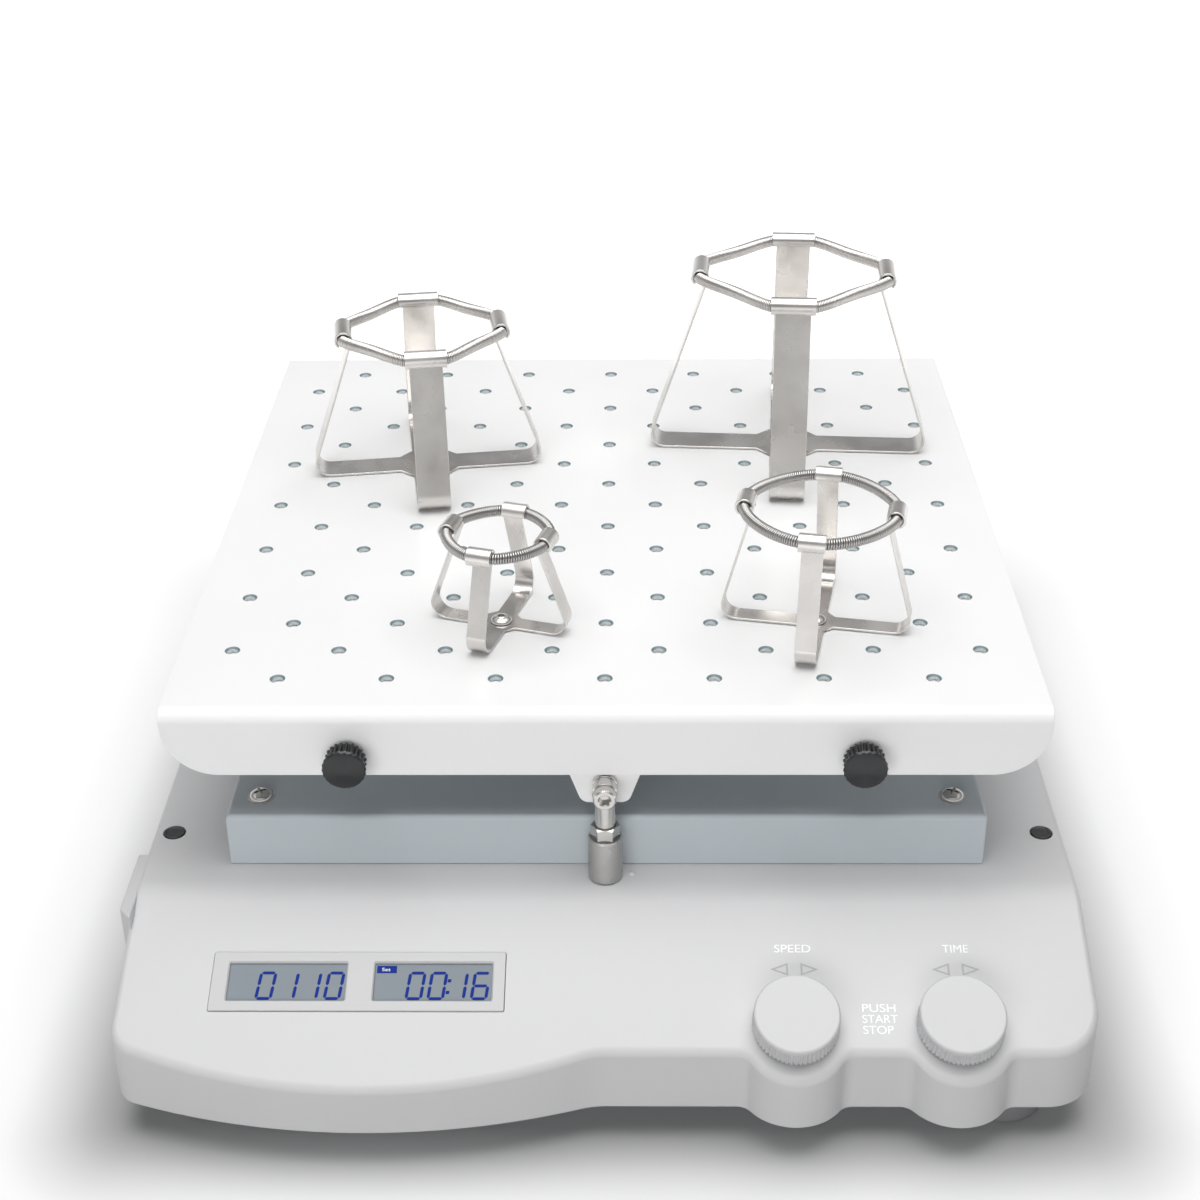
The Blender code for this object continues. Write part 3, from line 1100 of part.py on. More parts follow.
def make_clamp(name, rock_axis):
    """One pressed clamp: hub, four arms and their clips, all one piece of sheet."""
    across, along, turn, square, curls = CLAMP_PLACE_SHARES[name]
    foot, ring, height, width, coil = CLAMP_SIZES[name]
    path, clip_start = arm_path(foot, ring, height, coil)
    hub = width * HUB_SHARE
    half = CLAMP_SHEET / 2
    low, high = SEAT_GAP, SEAT_GAP + CLAMP_SHEET
    bm = bmesh.new()
    hub_corners = []
    for arm in range(4):
        spin = Matrix.Rotation(math.radians(90 * arm), 3, "Z")
        for side in (-1, 1):
            corner = spin @ Vector((hub, side * width / 2, 0))
            hub_corners.append((corner.x, corner.y))
    rings = []
    for z in (low, high):
        rings.append([bm.verts.new((x, y, z)) for x, y in hub_corners])
        turns = [math.atan2(y, x) for x, y in hub_corners]
        rings.append([bm.verts.new((HUB_HOLE_RADIUS * math.cos(a), HUB_HOLE_RADIUS * math.sin(a), z))
                      for a in turns])
    for i in range(8):
        j = (i + 1) % 8
        bm.faces.new((rings[0][i], rings[0][j], rings[1][j], rings[1][i]))
        bm.faces.new((rings[2][i], rings[2][j], rings[3][j], rings[3][i]))
        bm.faces.new((rings[1][i], rings[1][j], rings[3][j], rings[3][i]))
        if i % 2:
            bm.faces.new((rings[0][i], rings[0][j], rings[2][j], rings[2][i]))
    for arm in range(4):
        spin = Matrix.Rotation(math.radians(90 * arm), 3, "Z")
        right, left = 2 * arm, 2 * arm + 1
        section = [rings[0][right], rings[0][left], rings[2][left], rings[2][right]]
        for k, (radius, z) in enumerate(path):
            before = path[max(k - 1, 0)]
            after = path[min(k + 1, len(path) - 1)]
            ahead = Vector((after[0] - before[0], after[1] - before[1])).normalized()
            if k == 0:
                ahead = Vector((1, 0))
            side_w = width / 2 * (1 + (CLIP_WIDEN_SHARE if k > clip_start else 0))
            new = []
            for offset, across_w in ((-half, -side_w), (-half, side_w), (half, side_w), (half, -side_w)):
                point = spin @ Vector((radius - offset * ahead.y, across_w, z + offset * ahead.x))
                new.append(bm.verts.new(point))
            for i in range(4):
                j = (i + 1) % 4
                bm.faces.new((section[i], section[j], new[j], new[i]))
            section = new
        bm.faces.new(section)
    x, y = across * HOLE_PITCH, PLATFORM_Y + along * HOLE_PITCH
    place = Matrix.Translation((x, y, PLATE_TOP)) @ Matrix.Rotation(math.radians(turn), 4, "Z")
    hang_on(finish_mesh(name, bm, "steel", place), rock_axis)
    make_spring(name, place, rock_axis)


def ring_radius_at(around, name):
    """Radius of the spring's ring: straight through the clips, arched between them."""
    foot, ring, height, width, coil = CLAMP_SIZES[name]
    square = CLAMP_PLACE_SHARES[name][3]
    half_clip = width / 2 * (1 + CLIP_WIDEN_SHARE) + CLIP_GAP
    edge_turn = math.atan2(half_clip, ring)
    turn = (around + math.pi / 4) % (math.pi / 2) - math.pi / 4
    if abs(turn) <= edge_turn:
        return ring / math.cos(turn)
    edge = ring / math.cos(edge_turn)
    share = (abs(turn) - edge_turn) / (math.pi / 2 - 2 * edge_turn)
    return edge + (ring * (1 - square) - edge) * math.sin(math.pi * share)


def spring_point(share, name):
    """A point of the coiled wire, at a share of the way round its ring."""
    height, coil = CLAMP_SIZES[name][2], CLAMP_SIZES[name][4]
    curls = CLAMP_PLACE_SHARES[name][4]
    around = 2 * math.pi * share
    curl = 2 * math.pi * curls * share
    reach = ring_radius_at(around, name) + (coil - SPRING_WIRE / 2) * math.cos(curl)
    z = height + (coil - SPRING_WIRE / 2) * math.sin(curl)
    return Vector((reach * math.cos(around), reach * math.sin(around), z))


def least_gap(name):
    """Smallest space between one stretch of the wire and any other, measured on points."""
    curls = CLAMP_PLACE_SHARES[name][4]
    fine = 4 * CURL_POINTS
    count = curls * fine
    points = [spring_point(i / count, name) for i in range(count)]
    least = math.inf
    for i in range(0, count, 3):
        for step in range(fine // 2, 2 * fine):
            least = min(least, (points[i] - points[(i + step) % count]).length)
    return least - SPRING_WIRE


def make_spring(name, place, rock_axis):
    """The garter spring that pulls a clamp's arms together, one wire closed on itself."""
    label = name.replace("clamp", "spring")
    count = CLAMP_PLACE_SHARES[name][4] * CURL_POINTS
    curve = bpy.data.curves.new(label, "CURVE")
    curve.dimensions = "3D"
    curve.bevel_depth = SPRING_WIRE / 2
    curve.bevel_resolution = 1
    spline = curve.splines.new("POLY")
    spline.points.add(count - 1)
    for i, point in enumerate(spline.points):
        point.co = (*spring_point(i / count, name), 1)
    spline.use_cyclic_u = True
    curve.materials.append(make_material(label, "steel"))
    spring = bpy.data.objects.new(label, curve)
    bpy.context.collection.objects.link(spring)
    spring.matrix_world = place
    hang_on(spring, rock_axis)
    print("%s: least gap of the wire to itself %.2f mm" % (label, least_gap(name) * 1000))


def build():
    clear_scene()
    make_housing()
    make_base_plate()
    make_deck_plugs()
    make_display()
    for index, name in enumerate(("speed", "time")):
        make_encoder(name, knob_place(index))
    make_switch()
    make_inlet()
    make_cover()
    rock_axis = make_axis("rock_axis", Matrix.Translation((0, PLATFORM_Y, PIVOT_HEIGHT)) @ TO_REAR)
    for end, side in (("front", -1), ("rear", 1)):
        make_pivot(end, side, rock_axis)
    make_carrier(rock_axis)
    make_plate(rock_axis)
    make_thumb_screws(rock_axis)
    make_fork(rock_axis)
    make_crank()
    for name in CLAMP_SIZES:
        make_clamp(name, rock_axis)


build()
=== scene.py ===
"""Looks of the bench rocking shaker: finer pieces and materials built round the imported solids.

Metres, in the part's own frame: origin on the bench, +Z up, -Y the front with the panel.
"""

import math

import bmesh
import bpy
from mathutils import Matrix, Vector


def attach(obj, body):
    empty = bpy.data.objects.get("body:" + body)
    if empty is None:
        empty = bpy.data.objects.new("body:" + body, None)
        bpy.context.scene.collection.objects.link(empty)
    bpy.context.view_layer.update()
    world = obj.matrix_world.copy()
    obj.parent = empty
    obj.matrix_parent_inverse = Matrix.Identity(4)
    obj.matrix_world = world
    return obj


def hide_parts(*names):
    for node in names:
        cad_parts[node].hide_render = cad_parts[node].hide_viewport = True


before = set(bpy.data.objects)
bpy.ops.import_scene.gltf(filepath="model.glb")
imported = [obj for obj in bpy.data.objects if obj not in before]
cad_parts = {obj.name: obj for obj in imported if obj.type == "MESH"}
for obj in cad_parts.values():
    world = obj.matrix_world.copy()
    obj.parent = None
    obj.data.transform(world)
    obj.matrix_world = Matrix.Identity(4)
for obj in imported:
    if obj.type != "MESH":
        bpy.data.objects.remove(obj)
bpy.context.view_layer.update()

# Clearances, and the breaks of small edges
SEAT_GAP = 0.0003
FIT_GAP = 0.0004
OVERRUN = 0.002
EDGE = 0.0003
FINE_EDGE = 0.0002
SHEET_EDGE = 0.0004

# Housing
BASE_WIDTH = 0.348
FRONT_WALL_TOP = 0.04076
FOOT_HEIGHT = 0.015
HOUSING_WALL = 0.003
CREST_RADIUS = 0.0025
FLOOR_RADIUS = 0.0012
PANEL_SLOPE_DEG = 22.0
PANEL_DEPTH = 0.060
ROLL_RADIUS = 0.028
BELLY_FROM_SIDE = 0.0896
BELLY_RISE = 0.0134
BELLY_HALF_CHORD = 0.0803
BELLY_FILLET = 0.030
LEFT_CORNER_RADIUS = 0.010
RIGHT_CORNER_RADIUS = 0.018
REAR_CORNER_RADIUS = 0.020
BULGE_FILLET = 0.006
CRANK_HOLE_RADIUS = 0.0144
POD_BEHIND_EDGE = 0.0225
POD_LENGTH = 0.038
POD_PROUD = 0.0032
POD_HEIGHT = 0.0235
POD_BELOW_DECK = 0.0006
POD_FRONT_CHAMFER = 0.005
POD_EDGE = 0.0008
SWITCH_LENGTH = 0.021
SWITCH_HEIGHT = 0.013
SWITCH_DEPTH = 0.016
SWITCH_RIM = 0.0018
SWITCH_RECESS = 0.0016
ROCKER_PROUD = 0.0018
ROCKER_TILT_DEG = 8.0
MARK_THICKNESS = 0.0001
ON_MARK_WIDTH = 0.0006
ON_MARK_LENGTH = 0.0036
OFF_MARK_RADII = (0.0013, 0.0019)
MARK_PLACE_SHARE = 0.52

# Underside and deck plugs. Half sections are (radius, height) points.
BASE_PLATE_THICKNESS = 0.002
BASE_PLATE_GAP = 0.0005
VENT_LENGTH = 0.036
VENT_WIDTH = 0.003
VENT_PITCH = 0.008
VENTS_IN_FIELD = 7
VENT_FIELDS_Y = (-0.100, 0.130)
FLOOR_SCREW_PLACES = (
    (-0.155, -0.150), (-0.155, 0.0), (-0.155, 0.150), (0.155, -0.150), (0.155, 0.0), (0.155, 0.150),
    (0, -0.182), (0, 0.194))
FLOOR_SCREW_HEAD = 0.0005
FLOOR_SCREW = (
    (0, 0.0006), (0.0011, 0.0006), (0.0012, 0), (0.0030, 0), (0.0034, 0.0004),
    (0.0034, FLOOR_SCREW_HEAD), (0, FLOOR_SCREW_HEAD))
FOOT_FROM_SIDE = 0.030
FOOT_FROM_FRONT = 0.023
FOOT_FROM_REAR = 0.034
FOOT_RADIUS = 0.016
FOOT_SOLE_RADIUS = 0.0030
FOOT_HOLE_RADIUS = 0.0055
FOOT_HOLE_DEPTH = 0.006
FOOT_HOLE_BREAK = 0.0008
# From the rubber's widest place to its top: (radius, distance below the top)
FOOT_NECK = ((FOOT_RADIUS, 0.0040), (0.0154, 0.0026), (0.0139, 0.0008), (0.0135, 0))
FOOT_SCREW = (
    (0, 0.0052), (0.0016, 0.0052), (0.0017, 0.0042), (0.0036, 0.0040), (0.0042, 0.0046),
    (0.0042, 0.0059), (0, 0.0059))
PLUG_RADIUS = 0.004
PLUG_DEPTH = 0.0016
PLUG_FACE = (
    (PLUG_RADIUS, 0), (0.0037, 0.0003), (0.0032, 0.0003), (0.0029, 0), (0.0012, 0.00012), (0, 0.0002))
PLUG_FROM_SIDE = 0.008
PLUG_BEHIND_EDGE = 0.0352
PLUG_FROM_REAR = 0.0366
PIP_X = 0.0096
PIP_BEHIND_EDGE = 0.0098
PIP_RADIUS = 0.0014

# Control panel
KNOB_FROM_SIDE = 0.0495
KNOB_SPACING = 0.0575
KNOB_FROM_EDGE = 0.0546
KNOB_RADIUS = 0.0154
KNOB_LEDGE = 0.0043
KNOB_TOP = 0.010
KNOB_BOTTOM = 0.0013
KNOB_FLUTE_TOP = 0.0079
KNOB_FLUTE = 0.0005
KNOB_FLUTES = 58
KNOB_BAND = 0.0008
KNOB_EDGE = 0.0010
KNOB_FACE_RADIUS = 0.0141
KNOB_FACE_STEP = 0.0004
KNOB_FACE_DIP = 0.00008
KNOB_SKIN = 0.0025
KNOB_HUB_RADIUS = 0.0055
KNOB_TRAVEL = 0.0008
SHAFT_RADIUS = 0.003
BUSHING_RADIUS = 0.0042
BUSHING_PROUD = 0.0008
DISPLAY_FROM_SIDE = 0.086
DISPLAY_FROM_EDGE = 0.0376
DISPLAY_WIDTH = 0.105
DISPLAY_HEIGHT = 0.0232
DISPLAY_CORNER = 0.0006
DISPLAY_PROUD = 0.0006
DISPLAY_THICKNESS = 0.004
OPENING_CORNER = 0.0008
BOARD_BELOW_PANEL = 0.014
WINDOW_WIDTH = 0.0422
WINDOW_HEIGHT = 0.0149
WINDOW_CORNER = 0.0004
WINDOW_PITCH = 0.0522
WINDOW_SHIFT = 0.0007
WINDOW_CHAMFER = 0.0005
LCD_BELOW_FRAME = 0.0012
LCD_SHOULDER = 0.002
DIGIT_WIDTH = 0.0063
DIGIT_HEIGHT = 0.0112
DIGIT_STROKE = 0.00115
DIGIT_GAP = 0.00014
DIGIT_SLANT_DEG = 6.0
DIGIT_LIFT = 0.0006
COLON_HALF_SHARE = 0.55
COLON_HEIGHT_SHARES = (0.27, 0.68)
INK_THICKNESS = 0.00005
# Figures of each display, with the distances of their middles from the window's left side
FIGURES = {
    "left": ("speed_figures", "0110", (0.0136, 0.0217, 0.0298, 0.0380)),
    "right": ("time_figures", "00:16", (0.0149, 0.0227, 0.0267, 0.0301, 0.0381)),
}
FLAG_FROM_SIDE = 0.0007
FLAG_WIDTH = 0.0071
FLAG_BELOW_TOP = 0.0008
FLAG_HEIGHT = 0.0029
FLAG_WORD_X = 0.0024
FLAG_WORD_LIFT = 0.0008
FLAG_WORD_HEIGHT = 0.0014
FLAG_WORD_WIDTH = 0.0030
# Height of the font's capitals as a share of its size
CAPITALS_SHARE = 0.73
LETTER_HEIGHT = 0.0033
LETTER_THICKNESS = 0.0001
# Knob titles: shift of the word's middle from the knob, and width
TITLES = {"speed": (0.0002, 0.0130), "time": (0.0012, 0.0092)}
TITLE_FROM_EDGE = 0.0257
NOTE_WIDTHS = {"PUSH": 0.0117, "START": 0.0124, "STOP": 0.0106}
NOTE_X = 0.0904
NOTE_FROM_EDGE = 0.0491
NOTE_PITCH = 0.0042
ARROW_LENGTH = 0.0062
ARROW_HEIGHT = 0.0049
ARROW_GAP = 0.0045
ARROW_LINE = 0.00032
ARROW_LINES_IN_RISE = 2.4
ARROWS_SHIFT = 0.0007
ARROWS_FROM_EDGE = 0.0324

# Mechanism cover on the deck
COVER_WIDTH = 0.282
COVER_TO_POST = 0.0004
COVER_HEIGHT = 0.0214
COVER_SHEET = 0.0012
COVER_BEND = 0.002
COVER_CORNER = 0.0009
COVER_LEAST_CORNER = 0.0002
COVER_SEAM = 0.00035
COVER_SEAM_DEPTH_SHARE = 0.7
COVER_SLOT_WIDTH = 0.034
COVER_SLOT_LENGTH = 0.036
COVER_SLOT_CORNER = 0.003
COVER_SCREW_X = 0.1296
COVER_SCREW_FROM_END = 0.0130
COVER_SCREW_RADIUS = 0.0043
COVER_SCREW_HEIGHT = 0.0024
COVER_SCREW_FLANGE = 0.0008
COVER_SCREW_SUNK = 0.0004
COVER_SCREW_CROWN_SHARE = 0.97
COVER_SCREW_TURN_DEG = 28
CROSS_WIDTH = 0.0009
CROSS_LENGTH = 0.0048
CROSS_HEIGHT = 0.0026

# Rocking axis and pivots
PIVOT_ABOVE_DECK = 0.038
POST_BEYOND_CARRIER = 0.0051
POST_TO_EDGE = 0.0088
POST_TO_REAR = 0.0102
POST_RADIUS = 0.0064
POST_HEIGHT = 0.0181
POST_BEVEL = 0.0006
NUT_FLATS = 0.0094
NUT_HEIGHT = 0.005
NUT_CROWN = 0.0006
NUT_FACE_STEP = 0.0001
ROD_RADIUS = 0.00385
ROD_TAPER = 0.0009
ROD_TAPER_START = 0.0010
ROD_TAPER_END = 0.0014
EYE_RADIUS = 0.0046
EYE_LENGTH = 0.0046
EYE_FLAT_STEP = 0.0001
SCREW_RADIUS = 0.0025
SCREW_HEAD_RADIUS = 0.00425
SCREW_HEAD_HEIGHT = 0.0038
SCREW_HEAD_BREAK = 0.0005
SCREW_KNURL = 0.00012
SCREW_KNURLS = 36
SCREW_KNURL_STEP = 0.0001
SCREW_SOCKET_FLATS = 0.004
SCREW_SOCKET_DEPTH = 0.0022
SCREW_SOCKET_TURN_DEG = 13
SCREW_TAIL = 0.003
PIVOT_CLEARANCE = 0.0002

# Platform
PLATE_WIDTH = 0.320
PLATE_DEPTH = 0.326
PLATE_ABOVE_AXIS = 0.032
PLATE_SHEET = 0.002
PLATE_BEND = 0.005
LIP_HEIGHT = 0.027
LIP_CORNER = 0.020
HOLE_PITCH = 0.040
HOLE_RADIUS = 0.0021
HOLE_SINK_RADIUS = 0.0029
HOLE_SINK_DEPTH = 0.0006
HOLE_ROWS = 15
HOLES_IN_SHORT_ROW = 7
CARRIER_WIDTH = 0.300
CARRIER_SHEET = 0.0015
CARRIER_FLANGE = 0.020
TAB_TOP_WIDTH = 0.0298
TAB_BOTTOM_WIDTH = 0.0172
TAB_BELOW_AXIS = 0.0085
TAB_CORNER = 0.0038
TAB_FILLET = 0.0012
TAB_SHOULDER = 0.002
TAB_STEP = 0.00003
THUMB_X = 0.093
THUMB_BELOW_TOP = 0.0185
THUMB_SHANK_RADIUS = 0.002
THUMB_TEETH = 22
THUMB_TOOTH = 0.0009
# Half section from the shank's tip to the head's rim: (radius, distance out of the lip, share
# of the tooth), and the domed end
THUMB_SECTION = (
    (0, -0.0060), (0.0017, -0.0060), (THUMB_SHANK_RADIUS, -0.0057), (THUMB_SHANK_RADIUS, 0.0003),
    (0.0050, 0.0003), (0.0050, 0.0021), (0.0071, 0.0021, 0.4), (0.0076, 0.0025, 1),
    (0.0070, 0.00515, 1), (0.0075, 0.0078, 1), (0.0079, 0.0082, 0.35), (0.0080, 0.0087, 0.2),
    (0.0078, 0.0092, 0.1), (0.0074, 0.0096))
THUMB_END = 0.0116

# Power inlet in the rear wall
INLET_FROM_SIDE = 0.069
INLET_BELOW_DECK = 0.025
INLET_FLANGE_WIDTH = 0.031
INLET_FLANGE_HEIGHT = 0.024
INLET_FLANGE_CORNER = 0.0022
INLET_FLANGE = 0.0012
INLET_BODY_WIDTH = 0.027
INLET_BODY_HEIGHT = 0.020
INLET_CORNER = 0.0008
INLET_DEPTH = 0.018
INLET_WALL = 0.002
SOCKET_CUT_CORNER = 0.0042
PIN_PLACES = {"line": (-0.007, 0.0017), "earth": (0.0, -0.0023), "neutral": (0.007, 0.0017)}
PIN_WIDTH = 0.002
PIN_HEIGHT = 0.0048
PIN_ROOT = 0.0005
PIN_BELOW_FACE = 0.0020

# Clamps: place on the plate in hole pitches, turn in degrees, share by which the ring is
# squared; foot and ring radius, ring height, strip width, coil radius and spring wire
LARGE_COIL = 0.0026
SMALL_COIL = 0.0023
CLAMP_PLACES = {
    "500ml": (2, 1.5, -4, 0.12),
    "250ml": (-2, 1, 8, 0.10),
    "100ml": (2, -2.5, -11, 0.02),
    "25ml": (-1, -2.5, -17, 0),
}
CLAMP_SIZES = {
    "500ml": (0.0610, 0.0400, 0.0815, 0.0150, LARGE_COIL, 0.0007),
    "250ml": (0.0495, 0.0335, 0.0640, 0.0140, LARGE_COIL, 0.0007),
    "100ml": (0.0360, 0.0280, 0.0490, 0.0080, SMALL_COIL, 0.00085),
    "25ml": (0.0273, 0.0190, 0.0385, 0.0075, SMALL_COIL, 0.00085),
}
CLAMP_SHEET = 0.0009
CLAMP_EDGE = 0.00022
CLAMP_FOOT_BEND = 0.006
CLIP_GAP = 0.0004
CLIP_WIDEN_SHARE = 0.25
CLIP_WRAP_DEG = 250.0
HUB_HOLE_RADIUS = 0.0025
HUB_SHARE = 0.9
HUB_SCREW_SHANK = ((0, -0.0040), (0.0018, -0.0040))
HUB_SCREW_NECK_RADIUS = 0.0019
HUB_SCREW_RADIUS = 0.0042
HUB_SCREW_HEIGHT = 0.0020
HUB_SCREW_RECESS = ((0.0013, HUB_SCREW_HEIGHT), (0.0012, 0.0012), (0, 0.0010))
HUB_SCREW_STEP_RAD = 0.15
SPRING_PITCH = 1.05
CURL_POINTS = 9

# Camera, lamps (place, target, size, watts, shows in reflections) and bench
CAMERA_PLACE = (0.0097800, -0.7218425, 0.5202005)
CAMERA_TURN_DEG = (60.3155, 0.5312, 0.7398)
CAMERA_LENS = 59.723
CAMERA_SENSOR = 36.0
CAMERA_RANGE = (0.01, 20.0)
LAMPS = {
    "overhead": ((0.02, -0.05, 1.50), (0.0, 0.0, 0.05), (1.6, 1.4), 22.5, True),
    "front_fill": ((-0.3, -1.8, 0.50), (0.0, 0.0, 0.08), (1.6, 0.6), 15.0, False),
    "rear_fill": ((0.5, 1.8, 0.60), (0.0, 0.0, 0.08), (1.6, 0.6), 8.0, False),
}
BENCH_HALF_SIZE = 4.0
BENCH_GREY = 0.50
WORLD_LEVEL = 0.08
# The bench's painted glow: emission that whitens it away from the shaker, and leaves it darker round the
# shaker as a painted shadow. Half size of the part without it, and (metres beyond that, level) stops
PAINTED_GLOW_HALF_SIZE = (0.172, 0.193, 0)
PAINTED_GLOW_STOPS = ((0.0, 0.0), (0.014, 0.08), (0.045, 0.48), (0.12, 0.66), (0.30, 0.84), (1.0, 1.0))
# What shiny surfaces see round them: (sine of the height above the horizon, level) stops
STUDIO_STOPS = ((0.0, 0.95), (0.16, 0.85), (0.34, 0.40), (0.52, 0.26), (0.72, 0.82), (1.0, 1.0))


def at(x, y, z):
    return Matrix.Translation((x, y, z))


def turned_by(degrees, axis):
    return Matrix.Rotation(math.radians(degrees), 4, axis)


SLOPE = math.radians(PANEL_SLOPE_DEG)
DECK_HEIGHT = FRONT_WALL_TOP + PANEL_DEPTH * math.tan(SLOPE)
CARRIER_HALF_DEPTH = PLATE_DEPTH / 2 - PLATE_SHEET - SEAT_GAP
POST_FROM_CENTRE = CARRIER_HALF_DEPTH + POST_BEYOND_CARRIER
DECK_DEPTH = POST_TO_EDGE + 2 * POST_FROM_CENTRE + POST_TO_REAR
BASE_DEPTH = BELLY_RISE + PANEL_DEPTH + DECK_DEPTH
FRONT_Y = -BASE_DEPTH / 2 + BELLY_RISE
REAR_Y = BASE_DEPTH / 2
DECK_EDGE_Y = FRONT_Y + PANEL_DEPTH
PLATFORM_Y = REAR_Y - POST_TO_REAR - POST_FROM_CENTRE
POD_REAR_Y = DECK_EDGE_Y + POD_BEHIND_EDGE
POD_X = -BASE_WIDTH / 2 - POD_PROUD
POD_TOP = DECK_HEIGHT - POD_BELOW_DECK
SWITCH_Y = POD_REAR_Y - (POD_LENGTH - POD_FRONT_CHAMFER) / 2
SWITCH_Z = POD_TOP - POD_HEIGHT / 2
ROLL_Y = DECK_EDGE_Y + ROLL_RADIUS * math.tan(SLOPE / 2)
ROLL_Z = DECK_HEIGHT - ROLL_RADIUS
COVER_LOW = DECK_HEIGHT + SEAT_GAP
COVER_TOP = COVER_LOW + COVER_HEIGHT
COVER_DEPTH = 2 * (POST_FROM_CENTRE - POST_RADIUS - COVER_TO_POST)
PIVOT_HEIGHT = DECK_HEIGHT + PIVOT_ABOVE_DECK
PLATE_TOP = PIVOT_HEIGHT + PLATE_ABOVE_AXIS
THUMB_HEIGHT = PLATE_TOP - THUMB_BELOW_TOP
CARRIER_TOP = PLATE_TOP - PLATE_SHEET - SEAT_GAP
BELLY_X = -BASE_WIDTH / 2 + BELLY_FROM_SIDE
KNOB_X = BASE_WIDTH / 2 - KNOB_FROM_SIDE - KNOB_SPACING
KNOBS_X = {"speed": KNOB_X, "time": KNOB_X + KNOB_SPACING}
DISPLAY_X = -BASE_WIDTH / 2 + DISPLAY_FROM_SIDE
INLET_X = BASE_WIDTH / 2 - INLET_FROM_SIDE
INLET_HEIGHT = DECK_HEIGHT - INLET_BELOW_DECK
SIDES = (("left", -1), ("right", 1))
TO_FRONT = turned_by(90, "X")
TO_REAR = turned_by(-90, "X")
TO_RIGHT = Matrix(((0, 0, 1, 0), (1, 0, 0, 0), (0, 1, 0, 0), (0, 0, 0, 1)))
TO_LEFT = Matrix(((0, 0, -1, 0), (-1, 0, 0, 0), (0, 1, 0, 0), (0, 0, 0, 1)))
PANEL_PLACE = at(0, DECK_EDGE_Y, DECK_HEIGHT) @ Matrix.Rotation(SLOPE, 4, "X")
PLATFORM_PLACE = at(0, PLATFORM_Y, 0)


# Materials

def srgb(*levels):
    """A colour as it looks on a screen, 0 to 255, as the linear values that shaders take."""
    shares = [level / 255 for level in levels]
    return tuple(s / 12.92 if s < 0.04045 else ((s + 0.055) / 1.055) ** 2.4 for s in shares)


def feed(tree, node, inputs):
    """Give a node's inputs their values, or link them from the sockets given."""
    for name, value in inputs.items():
        if isinstance(value, bpy.types.NodeSocket):
            tree.links.new(value, node.inputs[name])
        else:
            node.inputs[name].default_value = value
    return node


def add_node(tree, kind, inputs=None, **settings):
    node = tree.nodes.new("ShaderNode" + kind)
    for name, value in settings.items():
        setattr(node, name, value)
    return feed(tree, node, inputs or {})


def add_ramp(tree, source, stops):
    """A ramp over (position, colour or grey level) stops."""
    ramp = add_node(tree, "ValToRGB", {"Fac": source})
    marks = ramp.color_ramp.elements
    marks[0].position, marks[1].position = stops[0][0], stops[-1][0]
    for position, colour in stops[1:-1]:
        marks.new(position)
    for mark, (position, colour) in zip(marks, stops):
        mark.color = (*(colour if isinstance(colour, tuple) else (colour,) * 3), 1.0)
    return ramp.outputs["Color"]


def new_look(name, colour, roughness, metallic=0.0, specular=0.5):
    material = bpy.data.materials.new(name)
    material.use_nodes = True
    tree = material.node_tree
    shader = feed(tree, tree.nodes["Principled BSDF"], {
        "Base Color": (*colour, 1.0), "Roughness": roughness, "Metallic": metallic,
        "Specular IOR Level": specular})
    return material, tree, shader


def add_noise(tree, scale, detail=3.0, stretch=(1, 1, 1), distortion=0.0):
    """A noise over the object's own metres, with its grain drawn out where stretch is small."""
    coords = add_node(tree, "TexCoord")
    mapping = add_node(tree, "Mapping", {"Vector": coords.outputs["Object"], "Scale": stretch})
    noise = add_node(tree, "TexNoise", {
        "Vector": mapping.outputs["Vector"], "Scale": scale, "Detail": detail,
        "Distortion": distortion})
    return noise.outputs["Fac"]


def add_bump(tree, shader, source, strength, depth):
    bump = add_node(tree, "Bump", {"Height": source, "Strength": strength, "Distance": depth})
    feed(tree, shader, {"Normal": bump.outputs["Normal"]})


def vary_gloss(tree, shader, source, low, high):
    spread = add_node(tree, "MapRange", {
        "Value": source, "From Min": 0.3, "From Max": 0.7, "To Min": low, "To Max": high})
    feed(tree, shader, {"Roughness": spread.outputs["Result"]})


def vary_colour(tree, shader, source, first, second, low=0.35, high=0.65):
    feed(tree, shader, {"Base Color": add_ramp(tree, source, ((low, first), (high, second)))})


def textured(name, colour, roughness, grain, clouds, relief, gloss_shares, cloud, **kind):
    """A look with a fine grain in its bump, and broad clouds in its gloss and colour."""
    colour = srgb(*colour)
    material, tree, shader = new_look(name, colour, roughness, **kind)
    fine, broad = add_noise(tree, *grain), add_noise(tree, *clouds)
    add_bump(tree, shader, fine, *relief)
    vary_gloss(tree, shader, broad, *[roughness * share for share in gloss_shares])
    tints = [tuple(min(level * factor, 1.0) for level in colour) for factor in (1 - cloud, 1 + cloud)]
    vary_colour(tree, shader, broad, *tints)
    return material


def moulded(name, colour, roughness, grain, bump, cloud=0.012, **kind):
    """Plastic, rubber or a coat."""
    return textured(name, colour, roughness, (grain, 2.0), (22.0, 4.0), (bump, 0.00012),
                    (0.92, 1.08), cloud, **kind)


def metal(name, colour, roughness, stretch, grain, bump, cloud=0.06, size=60.0):
    """Bare or plated metal, with a drawn-out grain."""
    return textured(name, colour, roughness, (grain, 3.0, stretch), (size, 3.0, (1, 1, 1), 0.2),
                    (bump, 0.00008), (0.75, 1.3), cloud, metallic=1.0)


